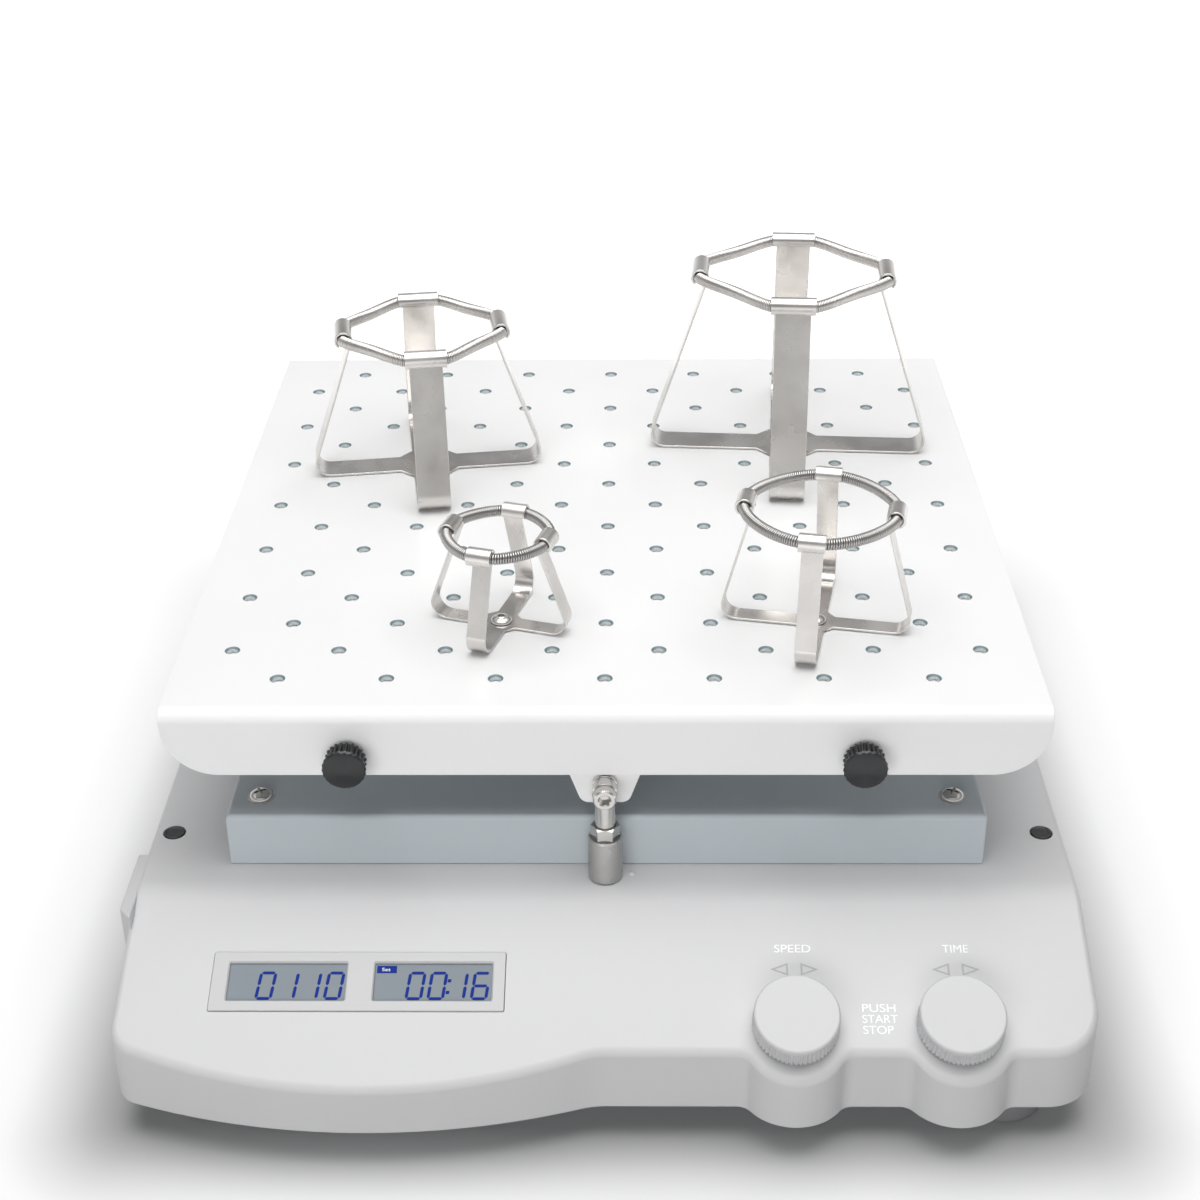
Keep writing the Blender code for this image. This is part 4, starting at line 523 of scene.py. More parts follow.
def painted_hole_look():
    """The plate's holes: a countersink darkened with painted shade, and a bore below it made pale with
    painted light.
    """
    material, tree, shader = new_look("hole_painted_light_and_shade", srgb(180, 190, 193), 0.42)
    coords = add_node(tree, "TexCoord")
    parts = add_node(tree, "SeparateXYZ", {"Vector": coords.outputs["Object"]})
    sink = PLATE_TOP - HOLE_SINK_DEPTH
    height = add_node(tree, "MapRange", {
        "Value": parts.outputs["Z"], "From Min": sink - 0.0002, "From Max": sink + 0.0001})
    # Painted shade on the countersink and painted light in the bore, chosen by height
    vary_colour(tree, shader, height.outputs["Result"], srgb(226, 233, 235), srgb(112, 128, 133), 0, 1)
    fine = add_noise(tree, 2500.0)
    add_bump(tree, shader, fine, 0.15, 0.00008)
    vary_gloss(tree, shader, fine, 0.34, 0.50)
    return material


# Name, screen colour, roughness, grain, bump and, for some, the strength of the clouds
HOUSING = moulded("housing_plastic", (205, 205, 206), 0.46, 1500.0, 0.22)
BEZEL = moulded("bezel_plastic", (193, 193, 194), 0.40, 1800.0, 0.10)
KNOB = moulded("knob_plastic", (203, 203, 204), 0.42, 1700.0, 0.12)
WHITE_COAT = moulded("white_coat", (247, 247, 247), 0.34, 700.0, 0.10, 0.006)
GREY_COAT = moulded("blue_grey_coat", (190, 198, 203), 0.42, 900.0, 0.14)
BLACK = moulded("black_plastic", (34, 34, 36), 0.42, 1300.0, 0.18, 0.08)
THUMB = moulded("thumb_grip", (30, 31, 33), 0.30, 1100.0, 0.16, 0.10)
RUBBER = moulded("foot_rubber", (128, 128, 130), 0.72, 900.0, 0.35, 0.05)
BELT = moulded("belt_rubber", (36, 36, 36), 0.68, 1200.0, 0.3, 0.08)
LETTERS = moulded("white_print", (250, 250, 250), 0.45, 1500.0, 0.05, 0.004)
PRINT_BLUE = moulded("lcd_ink", (22, 50, 138), 0.60, 900.0, 0.02, 0.05, specular=0.1)
ARROW_GREY = moulded("grey_print", (176, 176, 178), 0.45, 1500.0, 0.05, 0.004)
LCD = moulded("lcd_glass", (135, 143, 150), 0.42, 60.0, 0.02, 0.03, specular=0.15)
BOARD = moulded("circuit_board", (24, 92, 58), 0.40, 500.0, 0.3, 0.16)
# Name, screen colour, roughness, stretch of the grain, grain, bump, clouds' strength and grain
NICKEL = metal("bright_nickel", (205, 203, 200), 0.17, (0.02, 0.02, 1), 5000.0, 0.06, 0.10)
STEEL = metal("turned_steel", (188, 187, 185), 0.27, (0.03, 0.03, 1), 3500.0, 0.12)
CLAMP = metal("stainless_strip", (214, 211, 208), 0.25, (1, 1, 0.15), 2200.0, 0.08, 0.07, 48.0)
SPRING = metal("spring_wire", (204, 201, 198), 0.26, (1, 1, 1), 2500.0, 0.06)
# A darker copy of the spring wire for the small springs, as painted shade
SHADED_SPRING = metal("shaded_spring_wire", (176, 174, 172), 0.28, (1, 1, 1), 2500.0, 0.06)
BRASS = metal("machined_brass", (214, 178, 110), 0.24, (0.03, 0.03, 1), 3500.0, 0.10)
HOLE_PAINTED_LIGHT_AND_SHADE = painted_hole_look()


# Mesh helpers

def link(name, data, place=None):
    item = bpy.data.objects.new(name, data)
    bpy.context.scene.collection.objects.link(item)
    if place is not None:
        item.matrix_world = place
    bpy.context.view_layer.update()
    return item


def raw_object(name, bm, look=None, place=None):
    bmesh.ops.recalc_face_normals(bm, faces=bm.faces)
    mesh = bpy.data.meshes.new(name)
    bm.to_mesh(mesh)
    bm.free()
    if look is not None:
        mesh.materials.append(look)
    return link(name, mesh, place)


def evaluated_mesh(item):
    bpy.context.view_layer.update()
    graph = bpy.context.evaluated_depsgraph_get()
    return bpy.data.meshes.new_from_object(item.evaluated_get(graph))


def bake(item):
    """Write the effect of an object's modifiers into its mesh."""
    mesh = evaluated_mesh(item)
    item.modifiers.clear()
    item.data = mesh


def mesh_from(item, look):
    """The mesh that a text or a curve makes; the item itself goes."""
    mesh = evaluated_mesh(item)
    bpy.data.objects.remove(item, do_unlink=True)
    mesh.materials.clear()
    mesh.materials.append(look)
    return mesh


def combine(item, bm, operation, place=None, look=None, crossing=False):
    """Cut, join or intersect an object with another closed mesh, and drop that mesh."""
    tool = raw_object(item.name + "_tool", bm, look, place)
    change = item.modifiers.new("combine", "BOOLEAN")
    change.operation = operation
    change.solver = "EXACT"
    change.use_self = crossing
    if look is not None:
        change.material_mode = "TRANSFER"
    change.object = tool
    bake(item)
    bpy.data.objects.remove(tool, do_unlink=True)


def cut(item, bm, place=None, look=None, crossing=False):
    combine(item, bm, "DIFFERENCE", place, look, crossing)


def fuse(item, bm, place=None):
    combine(item, bm, "UNION", place)


def round_edges(item, width, steps=2, least_deg=40.0):
    edge = item.modifiers.new("edge", "BEVEL")
    edge.width = width
    edge.segments = steps
    edge.limit_method = "ANGLE"
    edge.angle_limit = math.radians(least_deg)
    edge.use_clamp_overlap = True
    bake(item)


def settle(item, body, slot, nodes=(), edge=0.0, sharp_deg=34.0):
    """Finish a piece: soften its edges, shade it, tie it to its body and hide the imported nodes it stands
    for; the slot is not used.
    """
    if edge:
        round_edges(item, edge)
    item.data.transform(item.matrix_world)
    item.matrix_world = Matrix.Identity(4)
    item.data.shade_smooth()
    item.data.set_sharp_from_angle(angle=math.radians(sharp_deg))
    weighted = item.modifiers.new("weighted", "WEIGHTED_NORMAL")
    weighted.keep_sharp = True
    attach(item, body)
    if nodes:
        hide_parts(*nodes)


def add_piece(name, bm, look, place, *ties, **finish):
    settle(raw_object(name, bm, look, place), *ties, **finish)


def skin(bm, first, second):
    """Faces between two rings of vertices, either of which may be one point on the axis."""
    count = max(len(first), len(second))
    for i in range(count):
        j = (i + 1) % count
        if len(first) == 1:
            bm.faces.new((first[0], second[j], second[i]))
        elif len(second) == 1:
            bm.faces.new((first[i], first[j], second[0]))
        else:
            bm.faces.new((first[i], first[j], second[j], second[i]))


def loft(bm, rows, capped=True):
    """Faces through rows of points, by default with both ends closed."""
    rings = [[bm.verts.new(point) for point in row] for row in rows]
    if capped:
        bm.faces.new(list(reversed(rings[0])))
        bm.faces.new(rings[-1])
    for first, second in zip(rings, rings[1:]):
        skin(bm, first, second)
    return rings


def prism(outline, low, high, bm=None):
    """An outline drawn out along Z, as a mesh of its own or added to the one given."""
    bm = bmesh.new() if bm is None else bm
    loft(bm, [[(x, y, z) for x, y in outline] for z in (low, high)])
    return bm


def around(middle, size):
    return middle - size / 2, middle + size / 2


def block(xs, ys, zs, bm=None):
    """A box between two places along each axis."""
    return prism([(xs[0], ys[0]), (xs[1], ys[0]), (xs[1], ys[1]), (xs[0], ys[1])], *zs, bm)


def turned(profile, sides=64, bm=None, centre=(0.0, 0.0), teeth=0, tooth=0.0):
    """Turn (radius, height) points about Z. One that starts and ends on the axis is a solid,
    any other a ring. A third item is the share of tooth that is cut into that ring."""
    bm = bmesh.new() if bm is None else bm
    count = 4 * teeth or sides
    rings = []
    for radius, height, *share in profile:
        ring = []
        for i in range(count if radius else 1):
            turn = 2 * math.pi * i / count
            reach = radius - (tooth * share[0] if share and i % 4 > 1 else 0)
            ring.append(bm.verts.new((centre[0] + reach * math.cos(turn),
                                      centre[1] + reach * math.sin(turn), height)))
        rings.append(ring)
    if profile[0][0] > 0:
        rings.append(rings[0])
    for first, second in zip(rings, rings[1:]):
        skin(bm, first, second)
    return bm


def rod_profile(radius, low, high, low_break=0.0, high_break=0.0, bore=0.0):
    """Half section of a rod, or of a sleeve round a bore, with its outer edges broken."""
    start = [(radius - low_break, low)] if low_break else []
    end = [(radius - high_break, high)] if high_break else []
    side = [(radius, low + low_break), (radius, high - high_break)]
    return [(bore, low)] + start + side + end + [(bore, high)]


def dome(radius, height, steps, lift=0.0):
    turns = [math.pi / 2 * i / steps for i in range(steps)]
    return [(radius * math.cos(t), lift + height * math.sin(t)) for t in turns]


def hexagon(flats, turn_deg=0.0):
    return plain_arc((0, 0), flats / 2 / math.cos(math.pi / 6), turn_deg, turn_deg + 300, 5)


def arc_points(centre, radius, start_deg, end_deg, steps, hollow=False):
    """Points along an arc, each with the direction that points out of the material."""
    points = []
    side = -1 if hollow else 1
    for i in range(steps + 1):
        turn = math.radians(start_deg + (end_deg - start_deg) * i / steps)
        dx, dy = math.cos(turn), math.sin(turn)
        points.append((centre[0] + radius * dx, centre[1] + radius * dy, side * dx, side * dy))
    return points


def plain_arc(*parts):
    return [(x, y) for x, y, a, b in arc_points(*parts)]


def rounded(corners, radii, steps):
    """A closed outline whose corners are rounded to the radii given."""
    points = []
    for i, (corner, radius) in enumerate(zip(corners, radii)):
        if not radius:
            points.append(corner)
            continue
        here = Vector(corner)
        back = (Vector(corners[i - 1]) - here).normalized()
        ahead = (Vector(corners[(i + 1) % len(corners)]) - here).normalized()
        half = back.angle(ahead) / 2
        reach = radius / math.tan(half)
        centre = here + (back + ahead).normalized() * (radius / math.sin(half))
        start, end = (here + way * reach - centre for way in (back, ahead))
        turn = start.angle_signed(end)
        for k in range(steps + 1):
            points.append(tuple(centre + Matrix.Rotation(-turn * k / steps, 2) @ start))
    return points


def box_outline(width, height, radius, x=0.0, y=0.0, steps=6):
    (left, right), (low, high) = around(x, width), around(y, height)
    return rounded([(left, low), (right, low), (right, high), (left, high)], [radius] * 4, steps)


def corner_places(x, front_y, rear_y):
    """Names and places of four pieces, one near each corner."""
    for side, sign in SIDES:
        for end, y in (("front", front_y), ("rear", rear_y)):
            yield "%s_%s" % (end, side), sign * x, y


def plug_places():
    return corner_places(BASE_WIDTH / 2 - PLUG_FROM_SIDE, DECK_EDGE_Y + PLUG_BEHIND_EDGE,
                         REAR_Y - PLUG_FROM_REAR)


# Housing

def surface_height(y, inset=0.0):
    """Height of the deck, its rolled front edge and the sloping panel, less the inset."""
    radius = ROLL_RADIUS - inset
    end_y = ROLL_Y - radius * math.sin(SLOPE)
    if y >= ROLL_Y:
        return DECK_HEIGHT - inset
    if y >= end_y:
        return ROLL_Z + math.sqrt(radius ** 2 - (ROLL_Y - y) ** 2)
    return ROLL_Z + radius * math.cos(SLOPE) - (end_y - y) * math.tan(SLOPE)


def bulge_points(x, y, radius):
    """The front wall swelling round a knob, with hollow fillets into the straight wall."""
    fillet_y = FRONT_Y - BULGE_FILLET
    reach = math.sqrt((radius + BULGE_FILLET) ** 2 - (fillet_y - y) ** 2)
    lean = math.degrees(math.atan2(y - fillet_y, reach))
    points = arc_points((x - reach, fillet_y), BULGE_FILLET, 90, lean, 12, True)
    points += arc_points((x, y), radius, 180 + lean, 360 - lean, 40)[1:-1]
    return points + arc_points((x + reach, fillet_y), BULGE_FILLET, 180 - lean, 90, 12, True)


def housing_outline(inset=0.0, roll_steps=16):
    """Plan of the housing, anticlockwise from its front left corner, with the places in that
    list of the roll's lines on the right and the left wall."""
    half = BASE_WIDTH / 2
    radius = (BELLY_HALF_CHORD ** 2 + BELLY_RISE ** 2) / (2 * BELLY_RISE)
    belly_y = radius - BASE_DEPTH / 2
    corner_x = LEFT_CORNER_RADIUS - half
    across = corner_x - BELLY_X
    corner_y = belly_y - math.sqrt((radius - LEFT_CORNER_RADIUS) ** 2 - across ** 2)
    start = math.degrees(math.atan2(corner_y - belly_y, across)) + 360
    fillet_y = FRONT_Y - BELLY_FILLET
    reach = math.sqrt((radius + BELLY_FILLET) ** 2 - (fillet_y - belly_y) ** 2)
    end = math.degrees(math.atan2(fillet_y - belly_y, reach)) + 360
    points = arc_points((corner_x, corner_y), LEFT_CORNER_RADIUS, 180, start, 20)
    points += arc_points((BELLY_X, belly_y), radius, start, end, 48)[1:-1]
    points += arc_points((BELLY_X + reach, fillet_y), BELLY_FILLET, end - 180, 90, 12, True)
    knob_y = DECK_EDGE_Y - KNOB_FROM_EDGE * math.cos(SLOPE)
    for x in KNOBS_X.values():
        points += bulge_points(x, knob_y, KNOB_RADIUS + KNOB_LEDGE)
    centre = (half - RIGHT_CORNER_RADIUS, FRONT_Y + RIGHT_CORNER_RADIUS)
    points += arc_points(centre, RIGHT_CORNER_RADIUS, 270, 360, 24)
    turns = [SLOPE * i / roll_steps for i in range(roll_steps + 1)]
    lines = [ROLL_Y - (ROLL_RADIUS - inset) * math.sin(turn) for turn in turns]
    right = range(len(points), len(points) + len(lines))
    points += [(half, y, 1, 0) for y in reversed(lines)]
    corner_x, corner_y = half - REAR_CORNER_RADIUS, REAR_Y - REAR_CORNER_RADIUS
    points += arc_points((corner_x, corner_y), REAR_CORNER_RADIUS, 0, 90, 24)
    points += arc_points((-corner_x, corner_y), REAR_CORNER_RADIUS, 90, 180, 24)
    left = range(len(points), len(points) + len(lines))
    points += [(-half, y, -1, 0) for y in lines]
    return [(x - inset * nx, y - inset * ny, nx, ny) for x, y, nx, ny in points], right, left


def housing_mesh(inset, bottom, crest=0.0, foot=0.0):
    """The housing's outer form with rounded crest and foot, or with an inset its cavity."""
    points, right, left = housing_outline(inset)

    def shrunk(radius, turn):
        back = radius * (1 - math.cos(turn))
        return [(x - back * nx, y - back * ny) for x, y, nx, ny in points]

    rows = []
    for share in [i / 4 for i in range(5)] if foot else [1]:
        turn = math.pi / 2 * (1 - share)
        height = bottom + foot * (1 - math.sin(turn))
        rows.append([(x, y, height) for x, y in shrunk(foot, turn)])
    for share in [i / 8 for i in range(9)] if crest else [1]:
        turn = math.pi / 2 * share
        drop = crest * (1 - math.sin(turn))
        rows.append([(x, y, surface_height(y, inset) - drop) for x, y in shrunk(crest, turn)])
    bm = bmesh.new()
    rings = loft(bm, rows, capped=False)
    top = rings[-1]
    bm.faces.new(list(reversed(rings[0])))
    bm.faces.new([top[left[-1]]] + top[:right[0] + 1])
    bm.faces.new(top[right[-1]:left[0] + 1])
    for k, (low, high) in enumerate(zip(right, right[1:])):
        bm.faces.new((top[low], top[high], top[left[-2 - k]], top[left[-1 - k]]))
    return bm


def pod_mesh():
    """The switch's raised field on the left wall, with its edges softened."""
    inner = -BASE_WIDTH / 2 + HOUSING_WALL / 2
    front = POD_REAR_Y - POD_LENGTH
    outline = [(inner, POD_REAR_Y), (POD_X, POD_REAR_Y), (POD_X, front + POD_FRONT_CHAMFER), (inner, front)]
    bm = prism(outline, POD_TOP - POD_HEIGHT, POD_TOP)
    bmesh.ops.bevel(bm, geom=list(bm.edges), offset=POD_EDGE, segments=4, profile=0.5,
                    affect="EDGES", clamp_overlap=True)
    return bm


def make_housing():
    shell = housing_mesh(0.0, FOOT_HEIGHT, CREST_RADIUS, FLOOR_RADIUS)
    housing = raw_object("housing_shell", shell, HOUSING)
    fuse(housing, pod_mesh())
    cut(housing, housing_mesh(HOUSING_WALL, FOOT_HEIGHT - OVERRUN))
    reach = HOUSING_WALL + OVERRUN
    outline = box_outline(DISPLAY_WIDTH + FIT_GAP, DISPLAY_HEIGHT + FIT_GAP, OPENING_CORNER,
                          DISPLAY_X, -DISPLAY_FROM_EDGE)
    bm = prism(outline, -reach, reach)
    for x in KNOBS_X.values():
        turned(rod_profile(BUSHING_RADIUS + FIT_GAP, -reach, reach), 32, bm, (x, -KNOB_FROM_EDGE))
    cut(housing, bm, PANEL_PLACE)
    high = DECK_HEIGHT + OVERRUN
    bm = turned(rod_profile(CRANK_HOLE_RADIUS, DECK_HEIGHT - reach, high), 48, None, (0, PLATFORM_Y))
    for name, x, y in plug_places():
        turned(rod_profile(PLUG_RADIUS + FIT_GAP, DECK_HEIGHT - PLUG_DEPTH, high), 32, bm, (x, y))
    block(around(-BASE_WIDTH / 2, 2 * (reach + POD_PROUD)), around(SWITCH_Y, SWITCH_LENGTH + 2 * FIT_GAP),
          around(SWITCH_Z, SWITCH_HEIGHT + 2 * FIT_GAP), bm)
    block(around(INLET_X, INLET_BODY_WIDTH + 2 * FIT_GAP), around(REAR_Y, 2 * reach),
          around(INLET_HEIGHT, INLET_BODY_HEIGHT + 2 * FIT_GAP), bm)
    cut(housing, bm)
    rim = 2 * SWITCH_RIM + 2 * FIT_GAP
    cut(housing, block(around(POD_X, 2 * SWITCH_RECESS), around(SWITCH_Y, SWITCH_LENGTH + rim),
                       around(SWITCH_Z, SWITCH_HEIGHT + rim)))
    settle(housing, "base", "housing", ["base_housing"])
    profile = [(0, -PIP_RADIUS)] + dome(PIP_RADIUS, PIP_RADIUS / 2, 6) + [(0, PIP_RADIUS / 2)]
    place = at(PIP_X, DECK_EDGE_Y + PIP_BEHIND_EDGE, DECK_HEIGHT)
    add_piece("deck_pip", turned(profile, 24), HOUSING, place, "base", "housing")


def make_underside():
    low = FOOT_HEIGHT + BASE_PLATE_GAP
    high = low + BASE_PLATE_THICKNESS
    outline = [row[:2] for row in housing_outline(HOUSING_WALL + BASE_PLATE_GAP)[0]]
    plate = raw_object("floor_plate", prism(outline, low, high), GREY_COAT)
    bm = bmesh.new()
    radius = VENT_WIDTH / 2
    for y in VENT_FIELDS_Y:
        for i in range(VENTS_IN_FIELD):
            x = (i - (VENTS_IN_FIELD - 1) / 2) * VENT_PITCH
            front, rear = around(y, VENT_LENGTH - VENT_WIDTH)
            slot = plain_arc((x, rear), radius, 0, 180, 8) + plain_arc((x, front), radius, 180, 360, 8)
            prism(slot, low - OVERRUN, high + OVERRUN, bm)
    cut(plate, bm)
    settle(plate, "base", "grey_coat", ["base_plate"])
    for i, (x, y) in enumerate(FLOOR_SCREW_PLACES):
        add_piece("floor_screw_%d" % (i + 1), turned(FLOOR_SCREW, 32), STEEL,
                  at(x, y, low - FLOOR_SCREW_HEAD), "base", "steel")
    top = low - SEAT_GAP
    hole, sole = FOOT_HOLE_RADIUS, FOOT_RADIUS - FOOT_SOLE_RADIUS
    profile = [(0, FOOT_HOLE_DEPTH), (hole, FOOT_HOLE_DEPTH), (hole, FOOT_HOLE_BREAK)]
    profile += [(hole + FOOT_HOLE_BREAK, 0), (sole, 0)]
    profile += plain_arc((sole, FOOT_SOLE_RADIUS), FOOT_SOLE_RADIUS, -90, 0, 6)[1:]
    profile += [(radius, top - drop) for radius, drop in FOOT_NECK] + [(0, top)]
    for name, x, y in corner_places(BASE_WIDTH / 2 - FOOT_FROM_SIDE, FRONT_Y + FOOT_FROM_FRONT,
                                    REAR_Y - FOOT_FROM_REAR):
        place = at(x, y, 0)
        add_piece("rubber_foot_" + name, turned(profile), RUBBER, place, "base", "rubber", ["foot_" + name])
        add_piece("foot_screw_" + name, turned(FOOT_SCREW, 32), STEEL, place, "base", "steel")


def make_deck_plugs():
    low = SEAT_GAP - PLUG_DEPTH
    for name, x, y in plug_places():
        bm = turned(((0, low), (PLUG_RADIUS, low), *PLUG_FACE), 40)
        add_piece("deck_cap_" + name, bm, BLACK, at(x, y, DECK_HEIGHT), "base", "black_plastic",
                  ["deck_plug_" + name], sharp_deg=50)


# Display

SEGMENTS = {"0": "abcdef", "1": "bc", "6": "acdefg"}


def segment_outline(segment):
    """Corners of one bar of a seven-bar digit, from the digit's lower left corner."""
    half = DIGIT_STROKE / 2
    left, right = half, DIGIT_WIDTH - half
    low, middle, high = half, DIGIT_HEIGHT / 2, DIGIT_HEIGHT - half
    ends = {
        "a": ((left, high), (right, high)), "b": ((right, middle), (right, high)),
        "c": ((right, low), (right, middle)), "d": ((left, low), (right, low)),
        "e": ((left, low), (left, middle)), "f": ((left, middle), (left, high)),
        "g": ((left, middle), (right, middle)),
    }
    first, second = (Vector(point) for point in ends[segment])
    ahead = (second - first).normalized()
    side = Vector((-ahead.y, ahead.x)) * half
    near, far = first + ahead * DIGIT_GAP, second - ahead * DIGIT_GAP
    inner_near, inner_far = near + ahead * half, far - ahead * half
    return [near, inner_near - side, inner_far - side, far, inner_far + side, inner_near + side]


def make_digits(corner, name, text, spots):
    """The figures of one display as thin raised ink."""
    lean = math.tan(math.radians(DIGIT_SLANT_DEG))
    half = DIGIT_STROKE * COLON_HALF_SHARE
    colon = []
    for share in COLON_HEIGHT_SHARES:
        y = DIGIT_HEIGHT * share
        colon.append([(-half, y - half), (half, y - half), (half, y + half), (-half, y + half)])
    bm = bmesh.new()
    low = DISPLAY_PROUD - LCD_BELOW_FRAME + INK_THICKNESS / 4
    for spot, figure in zip(spots, text):
        bars = [[(p.x - DIGIT_WIDTH / 2, p.y) for p in segment_outline(segment)]
                for segment in SEGMENTS.get(figure, "")]
        for outline in bars or colon:
            placed = [(corner[0] + spot + x + lean * (y - DIGIT_HEIGHT / 2), corner[1] + DIGIT_LIFT + y)
                      for x, y in outline]
            prism(placed, low, low + INK_THICKNESS, bm)
    add_piece(name, bm, PRINT_BLUE, PANEL_PLACE, "base", "lcd")


def add_word(name, words, place, height, width, thickness, slot):
    """Raised letters, drawn to the width given."""
    curve = bpy.data.curves.new(name, "FONT")
    curve.body = words
    curve.size = height / CAPITALS_SHARE
    curve.extrude = thickness / 2
    curve.resolution_u = 6
    mesh = mesh_from(link(name + "_text", curve), LETTERS)
    xs = [v.co.x for v in mesh.vertices]
    mesh.transform(Matrix.Diagonal((width / (max(xs) - min(xs)), 1, 1, 1)))
    settle(link(name, mesh, PANEL_PLACE @ at(*place)), "base", slot)


def make_display():
    low = DISPLAY_PROUD - DISPLAY_THICKNESS
    top = DISPLAY_PROUD - LCD_BELOW_FRAME
    shoulder = low - SEAT_GAP
    y = -DISPLAY_FROM_EDGE
    outline = box_outline(DISPLAY_WIDTH, DISPLAY_HEIGHT, DISPLAY_CORNER, DISPLAY_X, y)
    bezel = raw_object("display_bezel", prism(outline, low, DISPLAY_PROUD), BEZEL, PANEL_PLACE)
    round_edges(bezel, EDGE, 3)
    windows = {name: DISPLAY_X + WINDOW_SHIFT + side * WINDOW_PITCH / 2 for name, side in SIDES}
    steps = ((0, low - OVERRUN), (0, DISPLAY_PROUD - WINDOW_CHAMFER),
             (2 * WINDOW_CHAMFER, DISPLAY_PROUD + WINDOW_CHAMFER))
    bm = bmesh.new()
    for x in windows.values():
        rows = []
        for grow, z in steps:
            outline = box_outline(WINDOW_WIDTH + 2 * grow, WINDOW_HEIGHT + 2 * grow,
                                  WINDOW_CORNER + grow, x, y, 3)
            rows.append([(a, b, z) for a, b in outline])
        loft(bm, rows)
    cut(bezel, bm, PANEL_PLACE)
    settle(bezel, "base", "display_frame", ["display_frame"])
    for name, x in windows.items():
        rim = 2 * LCD_SHOULDER
        body = block(around(x, WINDOW_WIDTH + rim), around(y, WINDOW_HEIGHT + rim),
                     (SEAT_GAP - BOARD_BELOW_PANEL, shoulder))
        module = raw_object("lcd_module_" + name, body, LCD, PANEL_PLACE)
        fuse(module, block(around(x, WINDOW_WIDTH - SEAT_GAP / 2), around(y, WINDOW_HEIGHT - SEAT_GAP / 2),
                           (shoulder - LCD_SHOULDER, top)), PANEL_PLACE)
        settle(module, "base", "lcd", ["display_" + name])
        make_digits((x - WINDOW_WIDTH / 2, y - WINDOW_HEIGHT / 2), *FIGURES[name])
    left = windows["right"] - WINDOW_WIDTH / 2
    high = y + WINDOW_HEIGHT / 2 - FLAG_BELOW_TOP
    flag_x = left + FLAG_FROM_SIDE
    flag = block((flag_x, flag_x + FLAG_WIDTH), (high - FLAG_HEIGHT, high), (top, top + INK_THICKNESS))
    add_piece("display_flag", flag, PRINT_BLUE, PANEL_PLACE, "base", "lcd")
    place = (left + FLAG_WORD_X, high - FLAG_HEIGHT + FLAG_WORD_LIFT, top + INK_THICKNESS)
    add_word("flag_word", "Set", place, FLAG_WORD_HEIGHT, FLAG_WORD_WIDTH, INK_THICKNESS, "lcd")


def arrow_mesh(centre_x, side):
    """A hollow triangle, pointing away from its neighbour."""
    inner_x = centre_x + side * ARROW_GAP / 2
    low, high = around(-ARROWS_FROM_EDGE, ARROW_HEIGHT)
    corners = [Vector((inner_x + side * ARROW_LENGTH, -ARROWS_FROM_EDGE)),
               Vector((inner_x, high)), Vector((inner_x, low))]
    middle = sum(corners, Vector((0, 0))) / 3
    share = 1 - ARROW_LINES_IN_RISE * ARROW_LINE / (ARROW_HEIGHT / 2)
    inner = [middle + (corner - middle) * share for corner in corners]
    bm = bmesh.new()
    rows = ((corners, 0.0), (corners, LETTER_THICKNESS), (inner, LETTER_THICKNESS), (inner, 0.0))
    rings = loft(bm, [[(p.x, p.y, z) for p in ring] for ring, z in rows], capped=False)
    skin(bm, rings[-1], rings[0])
    return bm


def make_lettering():
    lift = LETTER_THICKNESS / 2
    for knob, (shift, width) in TITLES.items():
        spot = (KNOBS_X[knob] + shift - width / 2, -TITLE_FROM_EDGE, lift)
        add_word(knob + "_word", knob.upper(), spot, LETTER_HEIGHT, width, LETTER_THICKNESS, "housing")
        for end, side in SIDES:
            bm = arrow_mesh(KNOBS_X[knob] + ARROWS_SHIFT, side)
            add_piece("%s_arrow_%s" % (knob, end), bm, ARROW_GREY, PANEL_PLACE, "base", "housing")
    for row, (word, width) in enumerate(NOTE_WIDTHS.items()):
        spot = (NOTE_X, -NOTE_FROM_EDGE - row * NOTE_PITCH, lift)
        add_word(word.lower() + "_word", word, spot, LETTER_HEIGHT, width, LETTER_THICKNESS, "housing")


# Knobs and switch

def make_knobs():
    """Cups with a hub inside: their half section runs from the shaft's end over the top."""
    hub_top = KNOB_TOP - KNOB_SKIN + SEAT_GAP
    hub_low = BUSHING_PROUD + KNOB_TRAVEL + 2 * SEAT_GAP
    roof = KNOB_TOP - 2 * KNOB_SKIN
    bore = SHAFT_RADIUS + SEAT_GAP
    wall = KNOB_RADIUS - KNOB_SKIN
    flank = KNOB_RADIUS - EDGE
    profile = [(0, hub_top), (bore, hub_top), (bore, hub_low), (KNOB_HUB_RADIUS, hub_low)]
    profile += [(KNOB_HUB_RADIUS, roof), (wall, roof), (wall, KNOB_BOTTOM)]
    profile += [(KNOB_RADIUS - FINE_EDGE, KNOB_BOTTOM, 1), (KNOB_RADIUS, KNOB_BOTTOM + EDGE, 1)]
    profile += [(flank, KNOB_FLUTE_TOP - EDGE, 1), (flank, KNOB_FLUTE_TOP)]
    profile.append((flank, KNOB_FLUTE_TOP + KNOB_BAND))
    profile += plain_arc((KNOB_FACE_RADIUS, KNOB_TOP - KNOB_EDGE), KNOB_EDGE, 0, 90, 6)
    dip = KNOB_TOP - KNOB_FACE_DIP
    profile += [(KNOB_FACE_RADIUS - KNOB_FACE_STEP, dip), (0, dip)]
    for name, x in KNOBS_X.items():
        bm = turned(profile, teeth=KNOB_FLUTES, tooth=KNOB_FLUTE)
        add_piece(name + "_dial", bm, KNOB, PANEL_PLACE @ at(x, -KNOB_FROM_EDGE, 0), name + "_knob",
                  "knob", [name + "_knob"], sharp_deg=20)


